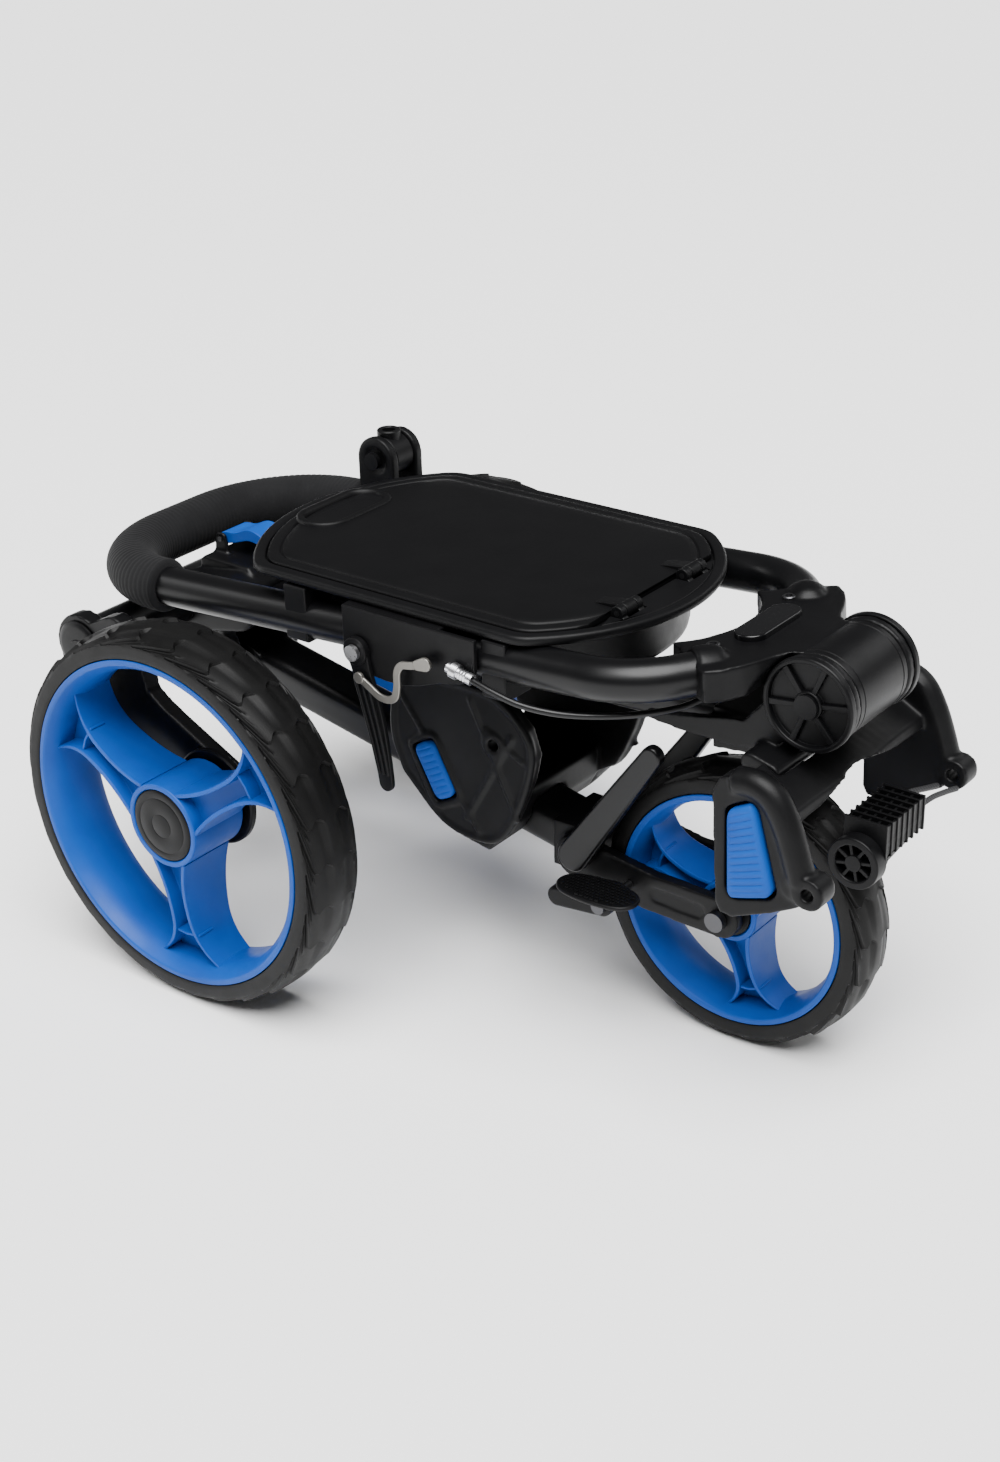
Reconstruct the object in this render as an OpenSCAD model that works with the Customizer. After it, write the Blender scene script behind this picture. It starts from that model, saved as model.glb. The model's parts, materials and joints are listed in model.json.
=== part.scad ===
// Folding three-wheeled golf push trolley, shown folded with the golf bag side facing down.
// Millimetres. Origin on the ground under the middle of the folded trolley, +Z up,
// +X towards the small front wheel, +Y across the trolley. All fold hinges turn about Y.

/* [Wheels] */
// Outside diameter of each rear tyre
rear_wheel_d = 280; // [276:1:284]
// Width of a rear wheel
rear_wheel_w = 52; // [48:1:53]
// Width over the outer faces of the rear wheels
overall_w = 400; // [398:1:410]
// Outside diameter of the front tyre
front_wheel_d = 205; // [200:1:208]
// Width of the front wheel
front_wheel_w = 44; // [40:1:45]
// Distance between the rear and front axles when folded
wheelbase = 348; // [345:1:352]

/* [Handle] */
// Diameter of the handle tube
tube_d = 28; // [26:1:28]
// Distance between the centre lines of the two straight handle tubes
tube_span = 203.4; // [202:0.2:206]
// Diameter over the foam grip
grip_d = 39; // [36:1:41]
// Slope of the handle ring, rising towards the hinge barrel
ring_tilt = 3.55; // [3:0.05:4]
// Diameter of the hinge barrel
barrel_d = 64; // [60:1:66]
// Length of the hinge barrel over its end caps
barrel_l = 88; // [86:1:92]

/* [Console] */
// Half width of the console rim
rim_half_w = 113; // [110:1:114]
// Half width of the console lid
lid_half_w = 103; // [98:1:104]
// Height of the underside of the console rim above the ground
rim_z = 304; // [303.8:0.1:306]
// Wall thickness of the console bin
bin_wall = 3; // [2.5:0.1:4]

/* [Fittings] */
// Radius of the accessory socket
socket_r = 5; // [4:0.5:6]
// Radius of the eyes at the ends of the bag bracket arms
eye_r = 4; // [3:0.5:5]
// Diameter of the elastic bag cord
cord_d = 4; // [3:0.5:5]
// Diameter of the brake cable's outer casing
cable_d = 4.5; // [4:0.5:5]

/* [Hidden] */
$fn = 96;
eps = 0.5;                 // overrun of a cutting body past the face that it cuts
fit = 0.05;                // radial clearance of a turning fit
gap = 0.3;                 // clearance between neighbouring pieces

rear_axle = [-143, rear_wheel_d / 2];
front_axle = [rear_axle[0] + wheelbase, front_wheel_d / 2];
barrel = [271, 281];       // pivot of the handle
mid_hinge = [-243, 178];   // pivot of the front arm
leg_pivot = [-273, 222];   // pivot of the rear legs
lid_pivot = [135, 312];    // pivot of the console lid
lever_pivot = [-22, 274.6];
link_pin = [-17, 258];
knuckle_pivot = [-178, 316];
pedal_pivot = [134, 106];
release_pivot = [-252, 268];

ring_z0 = 282.2;           // height of the handle tube's centre line above the origin
tube_r = tube_d / 2;
tube_y = tube_span / 2;
bend_r = 78;               // radius of the two corners behind the grip
grip_x = -223;             // where the straight tube meets those corners
front_bend_x = 147;        // where the tube starts to turn in towards the yoke
front_bend_r = 65;
front_bend_a = 52;
tip_l = 22;                // straight end of the tube inside the yoke

wheel_y = overall_w / 2 - rear_wheel_w / 2;
bearing_ro = 11;
bearing_ri = 4;
bearing_w = 7;
axle_r = bearing_ri - fit;
spoke_phase = -87;
centre_y = barrel_l / 2;
section_y = 30;            // half length of the barrel's turning middle section
barrel_r = barrel_d / 2;
leg_y0 = 128;
leg_y1 = 142;
shaft_r = 12;
bracket_y0 = 86;           // inner and outer faces of the upper bag bracket's arms
bracket_y1 = 104;
web_t = 2.6;               // closed wall behind each pad

// ---- helpers ----

// Extrudes a flat outline, drawn in X and Z, from y0 to y1
module across(y0, y1) translate([0, y1, 0]) rotate([90, 0, 0]) linear_extrude(y1 - y0) children();
// The same on both sides of the trolley
module both_sides(y0, y1) {
    across(y0, y1) children();
    across(-y1, -y0) children();
}
// Puts a body made about the Z axis onto an axis along Y
module axle_at(p, y = 0) translate([p[0], y, p[1]]) rotate([90, 0, 0]) children();
// Cylinder along Y from y0 to y1
module pin_y(p, r, y0, y1) translate([p[0], y1, p[1]]) rotate([90, 0, 0]) cylinder(r = r, h = y1 - y0);
// Round bar from a to b
module bar(a, b, r) {
    d = b - a;
    l = norm(d);
    translate(a) rotate([0, acos(d[2] / l), atan2(d[1], d[0])]) cylinder(r = r, h = l);
}
// Flat link outline: two round ends joined by tangents
function arc_points(c, r, a0, a1, n) = [for (k = [0 : n])
    let(a = a0 + (a1 - a0) * k / n) c + r * [cos(a), sin(a)]];
module link2d(a, ra, b, rb, n = 10) {
    d = b - a;
    t = atan2(d[1], d[0]);
    s = acos((ra - rb) / norm(d));
    polygon(concat(arc_points(b, rb, t - s, t + s, n), arc_points(a, ra, t + s, t + 360 - s, n)));
}
// Rectangular tube outline with cut corners
module chamfered(w, h, c) polygon([
    [-w / 2 + c, -h / 2], [w / 2 - c, -h / 2], [w / 2, -h / 2 + c], [w / 2, h / 2 - c],
    [w / 2 - c, h / 2], [-w / 2 + c, h / 2], [-w / 2, h / 2 - c], [-w / 2, -h / 2 + c]
]);
// Solid beam from a to b, both in X and Z, w wide across Y and h high
module beam(a, b, w, h, c) {
    d = b - a;
    translate([a[0], 0, a[1]]) rotate([0, 90 - atan2(d[1], d[0]), 0]) rotate(90)
        linear_extrude(norm(d)) chamfered(w, h, c);
}
// Puts its children in the sloping plane of the handle ring
module ring_plane() translate([0, 0, ring_z0]) rotate([0, -ring_tilt, 0]) children();

// Swept round tube along a list of points
function unit(v) = v / norm(v);
function ring_at(p, t, r, n) = let(
        side = unit(cross(t, abs(t[2]) < 0.9 ? [0, 0, 1] : [1, 0, 0])),
        up = cross(side, t))
    [for (k = [0 : n - 1]) p + r * (side * cos(360 * k / n) + up * sin(360 * k / n))];
function smooth(p, i, u) = let(
        n = len(p) - 1,
        a = p[max(i - 1, 0)], b = p[i], c = p[i + 1], d = p[min(i + 2, n)])
    0.5 * (2 * b + (c - a) * u + (2 * a - 5 * b + 4 * c - d) * u * u + (3 * b - a - 3 * c + d) * u * u * u);
function curve(p, m) = [for (i = [0 : len(p) - 2]) for (k = [0 : m - 1]) smooth(p, i, k / m), p[len(p) - 1]];
module swept(points, r, m = 3, n = 8) {
    c = curve(points, m);
    last = len(c) - 1;
    rings = [for (i = [0 : last])
        each ring_at(c[i], unit(c[min(i + 1, last)] - c[max(i - 1, 0)]), r, n)];
    faces = [
        [for (k = [0 : n - 1]) k],
        for (i = [0 : last - 1]) for (k = [0 : n - 1])
            [i * n + k, (i + 1) * n + k, (i + 1) * n + (k + 1) % n, i * n + (k + 1) % n],
        [for (k = [n - 1 : -1 : 0]) last * n + k]
    ];
    polyhedron(rings, faces);
}

// ---- wheels ----

// Tyre: flat sides next to the rim lip, rounded shoulders and a slightly crowned tread
module tyre(d, w, seat_r, lip_r) {
    r = d / 2;
    h = w / 2;
    shoulder = 9;
    bead = 1;              // room between the tyre bead and its seat
    color("#1c1c1e") rotate_extrude() polygon([
        [seat_r + bead, -h + 6 + bead], [lip_r + bead, -h + 5 + bead], [lip_r + bead, -h],
        [r - shoulder, -h], [r - 4, -h + 4], [r - 1.2, -h + 11], [r, 0],
        [r - 1.2, h - 11], [r - 4, h - 4], [r - shoulder, h],
        [lip_r + bead, h], [lip_r + bead, h - 5 - bead], [seat_r + bead, h - 6 - bead]
    ]);
}
// Rim: a deep barrel with a lip on each edge, a hub and three flared spokes
module rim(w, lip_r, seat_r, well_r, hub_r, spoke_w) {
    h = w / 2;
    color("#1f7fe0") {
        rotate_extrude() polygon([
            [well_r, -h], [lip_r, -h], [lip_r, -h + 5], [seat_r, -h + 6],
            [seat_r, h - 6], [lip_r, h - 5], [lip_r, h], [well_r, h]
        ]);
        difference() {
            union() {
                cylinder(r = hub_r, h = w - 4, center = true);
                for (k = [0 : 2]) rotate(spoke_phase + 120 * k)
                    linear_extrude(w * 0.5, center = true) polygon([
                        [hub_r - 6, -spoke_w * 0.30], [well_r * 0.62, -spoke_w * 0.28],
                        [well_r * 0.85, -spoke_w * 0.55], [well_r + 1, -spoke_w], [well_r + 1, spoke_w],
                        [well_r * 0.85, spoke_w * 0.55], [well_r * 0.62, spoke_w * 0.28],
                        [hub_r - 6, spoke_w * 0.30]
                    ]);
            }
            cylinder(r = bearing_ro - 2, h = w + 2 * eps, center = true);
            for (s = [-1, 1]) translate([0, 0, s * (h - 2 - bearing_w / 2 - 3)])
                cylinder(r = bearing_ro, h = bearing_w + 6 + eps, center = true);
        }
    }
}
// Ball bearings of one wheel, one in each end of the hub
module bearings(w) {
    color("silver") for (s = [-1, 1]) translate([0, 0, s * (w / 2 - 8 - bearing_w / 2)]) difference() {
        cylinder(r = bearing_ro - 0.02, h = bearing_w, center = true);
        cylinder(r = bearing_ri, h = bearing_w + 2 * eps, center = true);
    }
}
// Snap-in hub cap with a shallow stepped face
module hub_cap(r) {
    color("#151517") {
        cylinder(r = r, h = 2);
        cylinder(r = r - 3, h = 3);
        translate([0, 0, -3]) cylinder(r = bearing_ro - 0.02, h = 3);
    }
}

rear_lip_r = rear_wheel_d / 2 - 18;
rear_seat_r = rear_lip_r - 4;
rear_well_r = rear_lip_r - 11;
front_lip_r = front_wheel_d / 2 - 18;
front_seat_r = front_lip_r - 3;
front_well_r = front_lip_r - 9;

module rear_wheel_at(side) axle_at(rear_axle, side * wheel_y) children();
module rear_hub_cap(side) rear_wheel_at(side) mirror([0, 0, side < 0 ? 0 : 1])
    translate([0, 0, rear_wheel_w / 2 - 2]) hub_cap(27);

module left_tyre() rear_wheel_at(-1) tyre(rear_wheel_d, rear_wheel_w, rear_seat_r, rear_lip_r);
module left_rim() rear_wheel_at(-1) rim(rear_wheel_w, rear_lip_r, rear_seat_r, rear_well_r, 31.5, 40);
module left_hub_cap() rear_hub_cap(-1);
module left_bearings() rear_wheel_at(-1) bearings(rear_wheel_w);
module right_tyre() rear_wheel_at(1) tyre(rear_wheel_d, rear_wheel_w, rear_seat_r, rear_lip_r);
module right_rim() rear_wheel_at(1) rim(rear_wheel_w, rear_lip_r, rear_seat_r, rear_well_r, 31.5, 40);
module right_hub_cap() rear_hub_cap(1);
module right_bearings() rear_wheel_at(1) bearings(rear_wheel_w);
module front_tyre() axle_at(front_axle) tyre(front_wheel_d, front_wheel_w, front_seat_r, front_lip_r);
module front_rim() axle_at(front_axle) rim(front_wheel_w, front_lip_r, front_seat_r, front_well_r, 22, 30);
module front_bearings() axle_at(front_axle) bearings(front_wheel_w);
// Dust caps round the front axle, one on each side of the hub
module front_hub_caps() {
    color("#151517") for (s = [-1, 1]) difference() {
        pin_y(front_axle, 17, s * 20.9 - 0.9, s * 20.9 + 0.9);
        pin_y(front_axle, axle_r + 1, s * 21 - 2, s * 21 + 2);
    }
}

// ---- rear legs ----

module leg(y0, y1) color("#222226") difference() {
    union() {
        across(y0, y1) link2d(leg_pivot, 30, [-205, 178], 19);
        across(y0, y1) link2d([-205, 178], 18.5, rear_axle, 25);
        across(y0, y1) polygon([[-296, 205], [-292, 228], [-240, 256], [-216, 246], [-204, 190]]);
    }
    pin_y(leg_pivot, shaft_r + fit, y0 - eps, y1 + eps);
    pin_y(rear_axle, bearing_ri, y0 - eps, y1 + eps);
}
module left_leg() leg(-leg_y1, -leg_y0);
module right_leg() leg(leg_y0, leg_y1);
// Tubes that space the legs from the hinge housing and turn on the shaft
module leg_sleeves() color("#2a2a2e") for (s = [-1, 1]) difference() {
    pin_y(leg_pivot, 17, s > 0 ? 42 : -leg_y0, s > 0 ? leg_y0 : -42);
    pin_y(leg_pivot, shaft_r + fit, -leg_y0 - eps, leg_y0 + eps);
}
// Stub axles pressed into the legs
module rear_axles() color("silver") for (s = [-1, 1]) {
    y0 = leg_y0 - 2;
    y1 = overall_w / 2 - 8;
    pin_y(rear_axle, axle_r, s > 0 ? y0 : -y1, s > 0 ? y1 : -y0);
}
// Brake covers between each leg and its wheel
module brake_drums() color("#19191b") for (s = [-1, 1]) difference() {
    pin_y(rear_axle, 36, s > 0 ? leg_y1 : -leg_y1 - 6, s > 0 ? leg_y1 + 6 : -leg_y1);
    pin_y(rear_axle, bearing_ri, -leg_y1 - 10, leg_y1 + 10);
}

// ---- main frame ----

spine_a = [-204, 229];      // ends of the spine tube's centre line
spine_b = [214, 243];
module spine_solid(grow) beam(spine_a, spine_b, 38 + 2 * grow, 26 + 2 * grow, 8);
// Hollow main beam from the hinge housing to the spine head
module spine_beam() color("#1b1b1e") difference() {
    spine_solid(0);
    beam(spine_a - [2, 0], spine_b + [2, 0], 32, 20, 6);
}
// Casting that carries the barrel: two cheeks with long leaf-shaped arms and a cross block
module spine_head() color("#17171a") difference() {
    union() {
        both_sides(section_y + gap, centre_y - 6) {
            translate(barrel) circle(r = barrel_r - 0.5);
            link2d(barrel, 20, [228, 247], 10);
            link2d([228, 247], 10, [148, 241], 4);
        }
        across(-section_y - 1, section_y + 1)
            polygon([[196, 226], [236, 230], [236, 250], [224, 259], [196, 259]]);
        across(-60, 60) link2d([238, 240], 7, [256, 236], 7);
    }
    pin_y(barrel, 10.2, -centre_y, centre_y);
    spine_solid(0.02);
}
// Ribbed end caps of the barrel
module barrel_caps() color("#1a1a1c") for (s = [-1, 1]) {
    y0 = s > 0 ? centre_y - 5.9 : -centre_y;
    y1 = s > 0 ? centre_y : -centre_y + 5.9;
    difference() {
        pin_y(barrel, barrel_r - 0.5, y0, y1);
        pin_y(barrel, barrel_r - 4, s > 0 ? y0 + 1.5 : y0 - eps, s > 0 ? y1 + eps : y1 - 1.5);
        pin_y(barrel, 6, y0 - eps, y1 + eps);
    }
    difference() {
        union() {
            pin_y(barrel, 10, y0, y1 - 0.5);
            for (k = [0 : 5]) translate([barrel[0], (y0 + y1) / 2, barrel[1]]) rotate([0, 60 * k, 0])
                translate([6, -2.4, -1.6]) cube([barrel_r - 9, 4.8, 3.2]);
        }
        pin_y(barrel, 6, y0 - eps, y1 + eps);
    }
}
// Pivot bolt of the handle
module barrel_bolt() color("silver") {
    pin_y(barrel, 5.9, -centre_y - 0.5, centre_y + 0.5);
    for (s = [-1, 1]) pin_y(barrel, 8, s * (centre_y + 1) - 1, s * (centre_y + 1) + 1);
}

arm_eye = [309, 189];
// Outline of the bracket arm: a four-sided frame round the pad and a bar that ends in the eye
pad_seat = [[250, 231], [271, 242], [289, 184], [284, 176], [256, 167], [250, 175]];
pad_edge = [[250.4, 230.7], [270.8, 241.4], [288.5, 184.1], [283.8, 176.4], [256.1, 167.5], [250.4, 175.2]];
module bracket_arm_outline() difference() {
    union() {
        polygon([
            [238, 238], [244, 250], [256, 256], [272, 256.5], [286, 249], [297, 230], [303, 212],
            [308, 196], [304, 176], [284, 165], [256, 153], [246, 154], [242, 162]
        ]);
        link2d([294, 184], 8, arm_eye, 11);
    }
    translate(arm_eye) circle(r = eye_r);
}
// Cradle for the top of the golf bag, under the barrel
module upper_bracket() color("#1a1a1c") {
    difference() {
        both_sides(bracket_y0, bracket_y1) bracket_arm_outline();
        both_sides(bracket_y0 + web_t, bracket_y1 + eps) polygon(pad_seat);
    }
    difference() {
        across(-bracket_y0, bracket_y0) link2d([252, 240], 5, [284, 222], 5);
        across(-60 - gap, 60 + gap) link2d([238, 240], 7 + gap, [256, 236], 7 + gap);
        translate([300, 0, 190]) rotate([0, 40, 0]) cylinder(r = 46, h = 60, center = true);
    }
}
// Ribbed grip pads in the bracket arms
module upper_pads() color("#1f86e6")
    both_sides(bracket_y0 + web_t + gap, bracket_y1 + 1) polygon(pad_edge);

clip = [289, 174];
clip_y0 = -24;
clip_y1 = 28;
// Hook plate for the bag cord: a ribbed block with a round boss
module strap_clip() color("#19191b") {
    translate([clip[0] + 2, clip_y0, clip[1] + 12]) cube([28, clip_y1 - clip_y0, 12]);
    pin_y([clip[0] + 15, clip[1] + 2], 12, clip_y0 + 4, clip_y1 - 8);
    pin_y([clip[0] + 13, clip[1] + 2], 18, clip_y0 - 10, clip_y0 + 3);
    for (k = [0 : 4]) translate([clip[0], clip_y0 + 3 + 10.6 * k, clip[1] + 4]) cube([31, 2.6, 26]);
}
cord_back = [[300, 84, 180], [299, 66, 185], [298, 48, 190], [297, 25, 193]];
cord_front = [[314, 84, 182], [314, 66, 187], [314, 48, 191], [314, 25, 193]];
// Elastic cord from the right bracket arm to the hook plate
module bungee_cord() color("#242428") {
    swept(cord_back, cord_d / 2);
    swept(cord_front, cord_d / 2);
}

// Housing of the folding joint at the far end of the spine
module hinge_housing() color("#1a1a1d") difference() {
    union() {
        across(-41.7, 41.7) link2d(leg_pivot, 24, [-216, 232], 22);
        across(-26, 26) polygon([[-262, 240], [-206, 240], [-206, 254], [-212, 258], [-262, 258]]);
        both_sides(23, 36) link2d(mid_hinge, 20, [-262, 222], 20);
        for (y = [-13, 16.3]) across(y, y + 3.7) link2d(release_pivot, 6, [-252, 254], 8);
    }
    pin_y(release_pivot, 2, -14, 21);
    spine_solid(0.02);
    pin_y(leg_pivot, shaft_r, -50, 50);
    pin_y(mid_hinge, 8, -40, 40);
    pin_y(mid_hinge, 24, -22.6, 22.6);
}
module leg_shaft() color("#2c2c30") {
    pin_y(leg_pivot, shaft_r - 0.01, -leg_y1 - 1, leg_y1 + 1);
    for (s = [-1, 1]) pin_y(leg_pivot, 20, s * (leg_y1 + 2.3) - 1.8, s * (leg_y1 + 2.3) + 1.8);
}
module arm_pin() color("silver") pin_y(mid_hinge, 7.99, -37, 37);

// ---- front arm ----

arm_start = [-222, 173];    // ends of the front arm's centre line
arm_end = [84, 112];
module arm_solid(grow) beam(arm_start, arm_end, 40 + 2 * grow, 30 + 2 * grow, 8);
// Hollow front arm with a lug that turns on the hinge pin
module front_arm() color("#1b1b1e") {
    difference() {
        arm_solid(0);
        beam(arm_start + [14, -2.8], arm_end + [2, 0], 34, 24, 6);
        pin_y(mid_hinge, 8 + fit, -30, 30);
    }
    difference() {
        across(-21, 21) link2d(mid_hinge, 19, mid_hinge + [12, -2.4], 17);
        pin_y(mid_hinge, 8 + fit, -30, 30);
    }
}
// Two flat blades on either side of the front wheel, joined ahead of the arm
module fork() color("#17171a") difference() {
    union() {
        both_sides(front_wheel_w / 2 + 2, front_wheel_w / 2 + 12) {
            link2d([86, 112], 17, [150, 104], 15);
            link2d([150, 104], 14.5, front_axle, 15);
        }
        across(-front_wheel_w / 2 - 3, front_wheel_w / 2 + 3) translate([62, 94]) square([32, 38]);
    }
    arm_solid(0.02);
    pin_y(front_axle, axle_r + 0.02, -50, 50);
    pin_y(pedal_pivot, 3, -front_wheel_w / 2 - 13, -front_wheel_w / 2 - 2 + eps);
}
bolt_y = front_wheel_w / 2 + 15;
module front_axle_bolt() color("silver") {
    pin_y(front_axle, axle_r, -front_wheel_w / 2 - 13, front_wheel_w / 2 + 13);
    for (s = [-1, 1]) pin_y(front_axle, 7, s * bolt_y - 2.8, s * bolt_y + 2.8);
}
// Cradle for the foot of the golf bag, on the front arm
module lower_bracket() color("#19191c") difference() {
    union() {
        both_sides(60, 74) polygon([
            [-31, 160], [-41, 192], [-34, 230], [-8, 243], [50, 243], [78, 222], [84, 200],
            [74, 166], [58, 134], [38, 124], [2, 130]
        ]);
        across(-62, 62) polygon([[-24, 159], [44, 146], [44, 126], [36, 112], [2, 118], [-20, 150]]);
    }
    both_sides(50, 80) translate([-2, 170]) rotate(-62) square([44, 22], center = true);
    arm_solid(0.02);
}
module lower_pads() color("#1f86e6") both_sides(59, 76)
    translate([-2, 170]) rotate(-62) square([43.4, 21.4], center = true);
// Struts that steady the folded arm under the spine
module fold_struts() color("#1b1b1e") both_sides(front_wheel_w / 2 + 12 + gap, front_wheel_w / 2 + 22)
    link2d([92, 118], 12, [156, 212], 8);

// ---- handle ----

// Tube section: a disc of radius r, or a ring when its inner radius is above 0
module section(r, inner = 0) difference() {
    circle(r = r);
    if (inner > 0) circle(r = inner);
}
module ring_bend(x, y, r, a0, a1, tube, inner = 0) translate([x, y, 0]) rotate(a0)
    rotate_extrude(angle = a1 - a0) translate([r, 0]) section(tube, inner);
module straight_x(x0, x1, y, r, inner = 0) translate([x0, y, 0]) rotate([0, 90, 0])
    linear_extrude(x1 - x0) section(r, inner);
tip_a = [front_bend_x + front_bend_r * sin(front_bend_a), tube_y - front_bend_r * (1 - cos(front_bend_a))];
tip_b = tip_a + tip_l * [cos(front_bend_a), -sin(front_bend_a)];
module back_bend(r, inner = 0) {
    for (s = [-1, 1])
        ring_bend(grip_x, s * (tube_y - bend_r), bend_r, s > 0 ? 90 : 180, s > 0 ? 180 : 270, r, inner);
    translate([grip_x - bend_r, -(tube_y - bend_r), 0]) rotate([-90, 0, 0])
        linear_extrude(2 * (tube_y - bend_r)) section(r, inner);
}
// Bent handle tube: an open ring whose two front ends sit in the yoke
module handle_tube() color("#161618") ring_plane() {
    back_bend(tube_r);
    for (s = [-1, 1]) {
        straight_x(grip_x, front_bend_x, s * tube_y, tube_r);
        ring_bend(front_bend_x, s * (tube_y - front_bend_r), front_bend_r,
            s > 0 ? 90 - front_bend_a : -90, s > 0 ? 90 : -90 + front_bend_a, tube_r);
        bar([tip_a[0], s * tip_a[1], 0], [tip_b[0], s * tip_b[1], 0], tube_r);
    }
}
// Foam sleeve over the rear bend of the handle
module foam_grip() color("#232326") ring_plane() {
    back_bend(grip_d / 2, tube_r + 0.02);
    straight_x(grip_x, grip_x + 6, -tube_y, grip_d / 2, tube_r + 0.02);
    straight_x(grip_x, grip_x + 18, tube_y, grip_d / 2, tube_r + 0.02);
}

// Casting that joins both tube ends to the turning section of the barrel
yoke_half = [[185, 66], [211, 87], [234, 60], [252, 29], [262, 29]];
module yoke() color("#1a1a1c") difference() {
    ring_plane() {
        translate([0, 0, -13]) linear_extrude(25) difference() {
            polygon(concat(yoke_half, [for (k = [4 : -1 : 0]) [yoke_half[k][0], -yoke_half[k][1]]]));
            translate([136, 0]) circle(r = 66);
        }
        for (s = [-1, 1]) bar([tip_a[0], s * tip_a[1], 0], [tip_b[0], s * tip_b[1], 0], tube_r + 3);
    }
    pin_y(barrel, barrel_r - 1.98, -100, 100);
    for (s = [-1, 1]) pin_y(barrel, barrel_r + gap, s > 0 ? section_y : -60, s > 0 ? 60 : -section_y);
    ring_plane() for (s = [-1, 1])
        bar([tip_a[0] - cos(front_bend_a), s * (tip_a[1] + sin(front_bend_a)), 0],
            [tip_b[0], s * tip_b[1], 0], tube_r + 0.05);
}
module badge_plate() color("#0f0f10") ring_plane() translate([218, 0, 12.2]) linear_extrude(3) {
    for (s = [-1, 1]) translate([0, s * 20]) circle(r = 11);
    square([22, 40], center = true);
}
module yoke_screws() color("#3a3a3d") ring_plane() for (s = [-1, 1])
    translate([206, s * 46, 12.2]) cylinder(r = 4.5, h = 1.8);
// Turning middle section of the barrel
module barrel_shell() color("#1b1b1d") difference() {
    pin_y(barrel, barrel_r - 2, -section_y, section_y);
    pin_y(barrel, 9, -section_y - eps, section_y + eps);
}
module barrel_bushes() color("#c9b27a") for (s = [-1, 1]) difference() {
    pin_y(barrel, 8.98, s > 0 ? section_y - 14 : -section_y, s > 0 ? section_y : -section_y + 14);
    pin_y(barrel, 5.95, -section_y - eps, section_y + eps);
}

// ---- console ----

// Plan outline of the console, drawn in by i; both ends are arcs
module console_outline(i, half_w) intersection() {
    translate([-200, -half_w]) square([400, 2 * half_w]);
    union() {
        translate([-21, 0]) circle(r = 150 - i);
        translate([24, 0]) circle(r = 138 - i);
        translate([-21, -138 + i]) square([45, 2 * (138 - i)]);
    }
}
bin_inset = 24;
bin_half_w = 84;
bin_floor_z = 264;
module console_tray() color("#1b1b1e") {
    difference() {
        union() {
            translate([0, 0, rim_z]) linear_extrude(3) console_outline(0, rim_half_w);
            translate([0, 0, bin_floor_z]) linear_extrude(rim_z - bin_floor_z)
                console_outline(bin_inset, bin_half_w);
        }
        translate([0, 0, bin_floor_z + bin_wall])
            linear_extrude(60) console_outline(bin_inset + bin_wall, bin_half_w - bin_wall);
    }
    // Hinge lugs of the lid
    for (s = [-1, 1]) for (k = [-1, 1]) difference() {
        translate([0, s * 38 + k * 9, 0]) across(-3, 3) {
            translate(lid_pivot) circle(r = 5);
            translate([lid_pivot[0] - 4, rim_z + 2]) square([12, 6]);
        }
        pin_y(lid_pivot, 2, -60, 60);
    }
}
module lid_pin() color("silver") for (s = [-1, 1]) pin_y(lid_pivot, 1.98, s * 38 - 12, s * 38 + 12);
// Lid: a flat plate with a raised middle panel and two hinge knuckles
module console_lid() color("#202023") difference() {
    union() {
        difference() {
            union() {
                translate([0, 0, rim_z + 3 + gap]) linear_extrude(4) console_outline(10, lid_half_w);
                translate([0, 0, rim_z + 6]) linear_extrude(6) console_outline(22, lid_half_w - 10);
            }
            translate([0, 0, rim_z]) linear_extrude(9) console_outline(25, lid_half_w - 13);
            translate([lid_pivot[0] - 11, -70, rim_z]) cube([60, 140, 30]);
            translate([-152, -22, rim_z]) cube([18, 44, 30]);
        }
        for (s = [-1, 1]) translate([0, s * 38, 0]) across(-5.7, 5.7) {
            translate(lid_pivot) circle(r = 5);
            translate([lid_pivot[0] - 20, lid_pivot[1] - 4.5]) square([20, 6.5]);
        }
    }
    pin_y(lid_pivot, 2 + fit, -60, 60);
}
// Sliding latch at the end of the lid
module lid_latch() color("#151517") {
    translate([-150, -20, rim_z + 3 + gap]) cube([15, 40, 6]);
    translate([-146, -12, rim_z + 3 + gap]) cube([6, 24, 9]);
}
// Saddles that hold the console down on the handle tubes
module console_clamps() color("#1a1a1d") for (s = [-1, 1]) for (x = [-84, 84]) difference() {
    translate([x - 10, s > 0 ? 84.6 : -114, bin_floor_z - 2]) cube([20, 29.4, rim_z - bin_floor_z + 2]);
    ring_plane() straight_x(x - 20, x + 20, s * tube_y, tube_r + 0.02);
}
module tray_screws() color("silver") for (s = [-1, 1]) for (x = [56, 20])
    translate([x, s * bin_half_w, 284]) rotate([-90 * s, 0, 0]) cylinder(r = 2.4, h = 1.6);

// ---- brake control ----

bracket_face = -tube_y - tube_r - 0.5;
plate_y = bracket_face - 4;
module brake_bracket() color("#1c1c1f") difference() {
    union() {
        across(plate_y, bracket_face) polygon([[-36, 303.7], [-36, 266], [-28, 260], [-4, 262], [8, 274],
            [44, 270], [70, 272], [74, 303.7]]);
        translate([-36, bracket_face - 0.1, rim_z - 2.8]) cube([80, 14, 2.5]);
    }
    pin_y(lever_pivot, 3, plate_y - 1, bracket_face + 1);
}
module lever_screw() color("silver") {
    pin_y(lever_pivot, 2.98, plate_y - 7, bracket_face - 0.2);
    pin_y(lever_pivot, 5.5, plate_y - 9.2, plate_y - 6.2);
}
lever_y0 = plate_y - 5.8;
lever_y1 = plate_y - 0.4;
lever_tip = [-2, 182];
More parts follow.
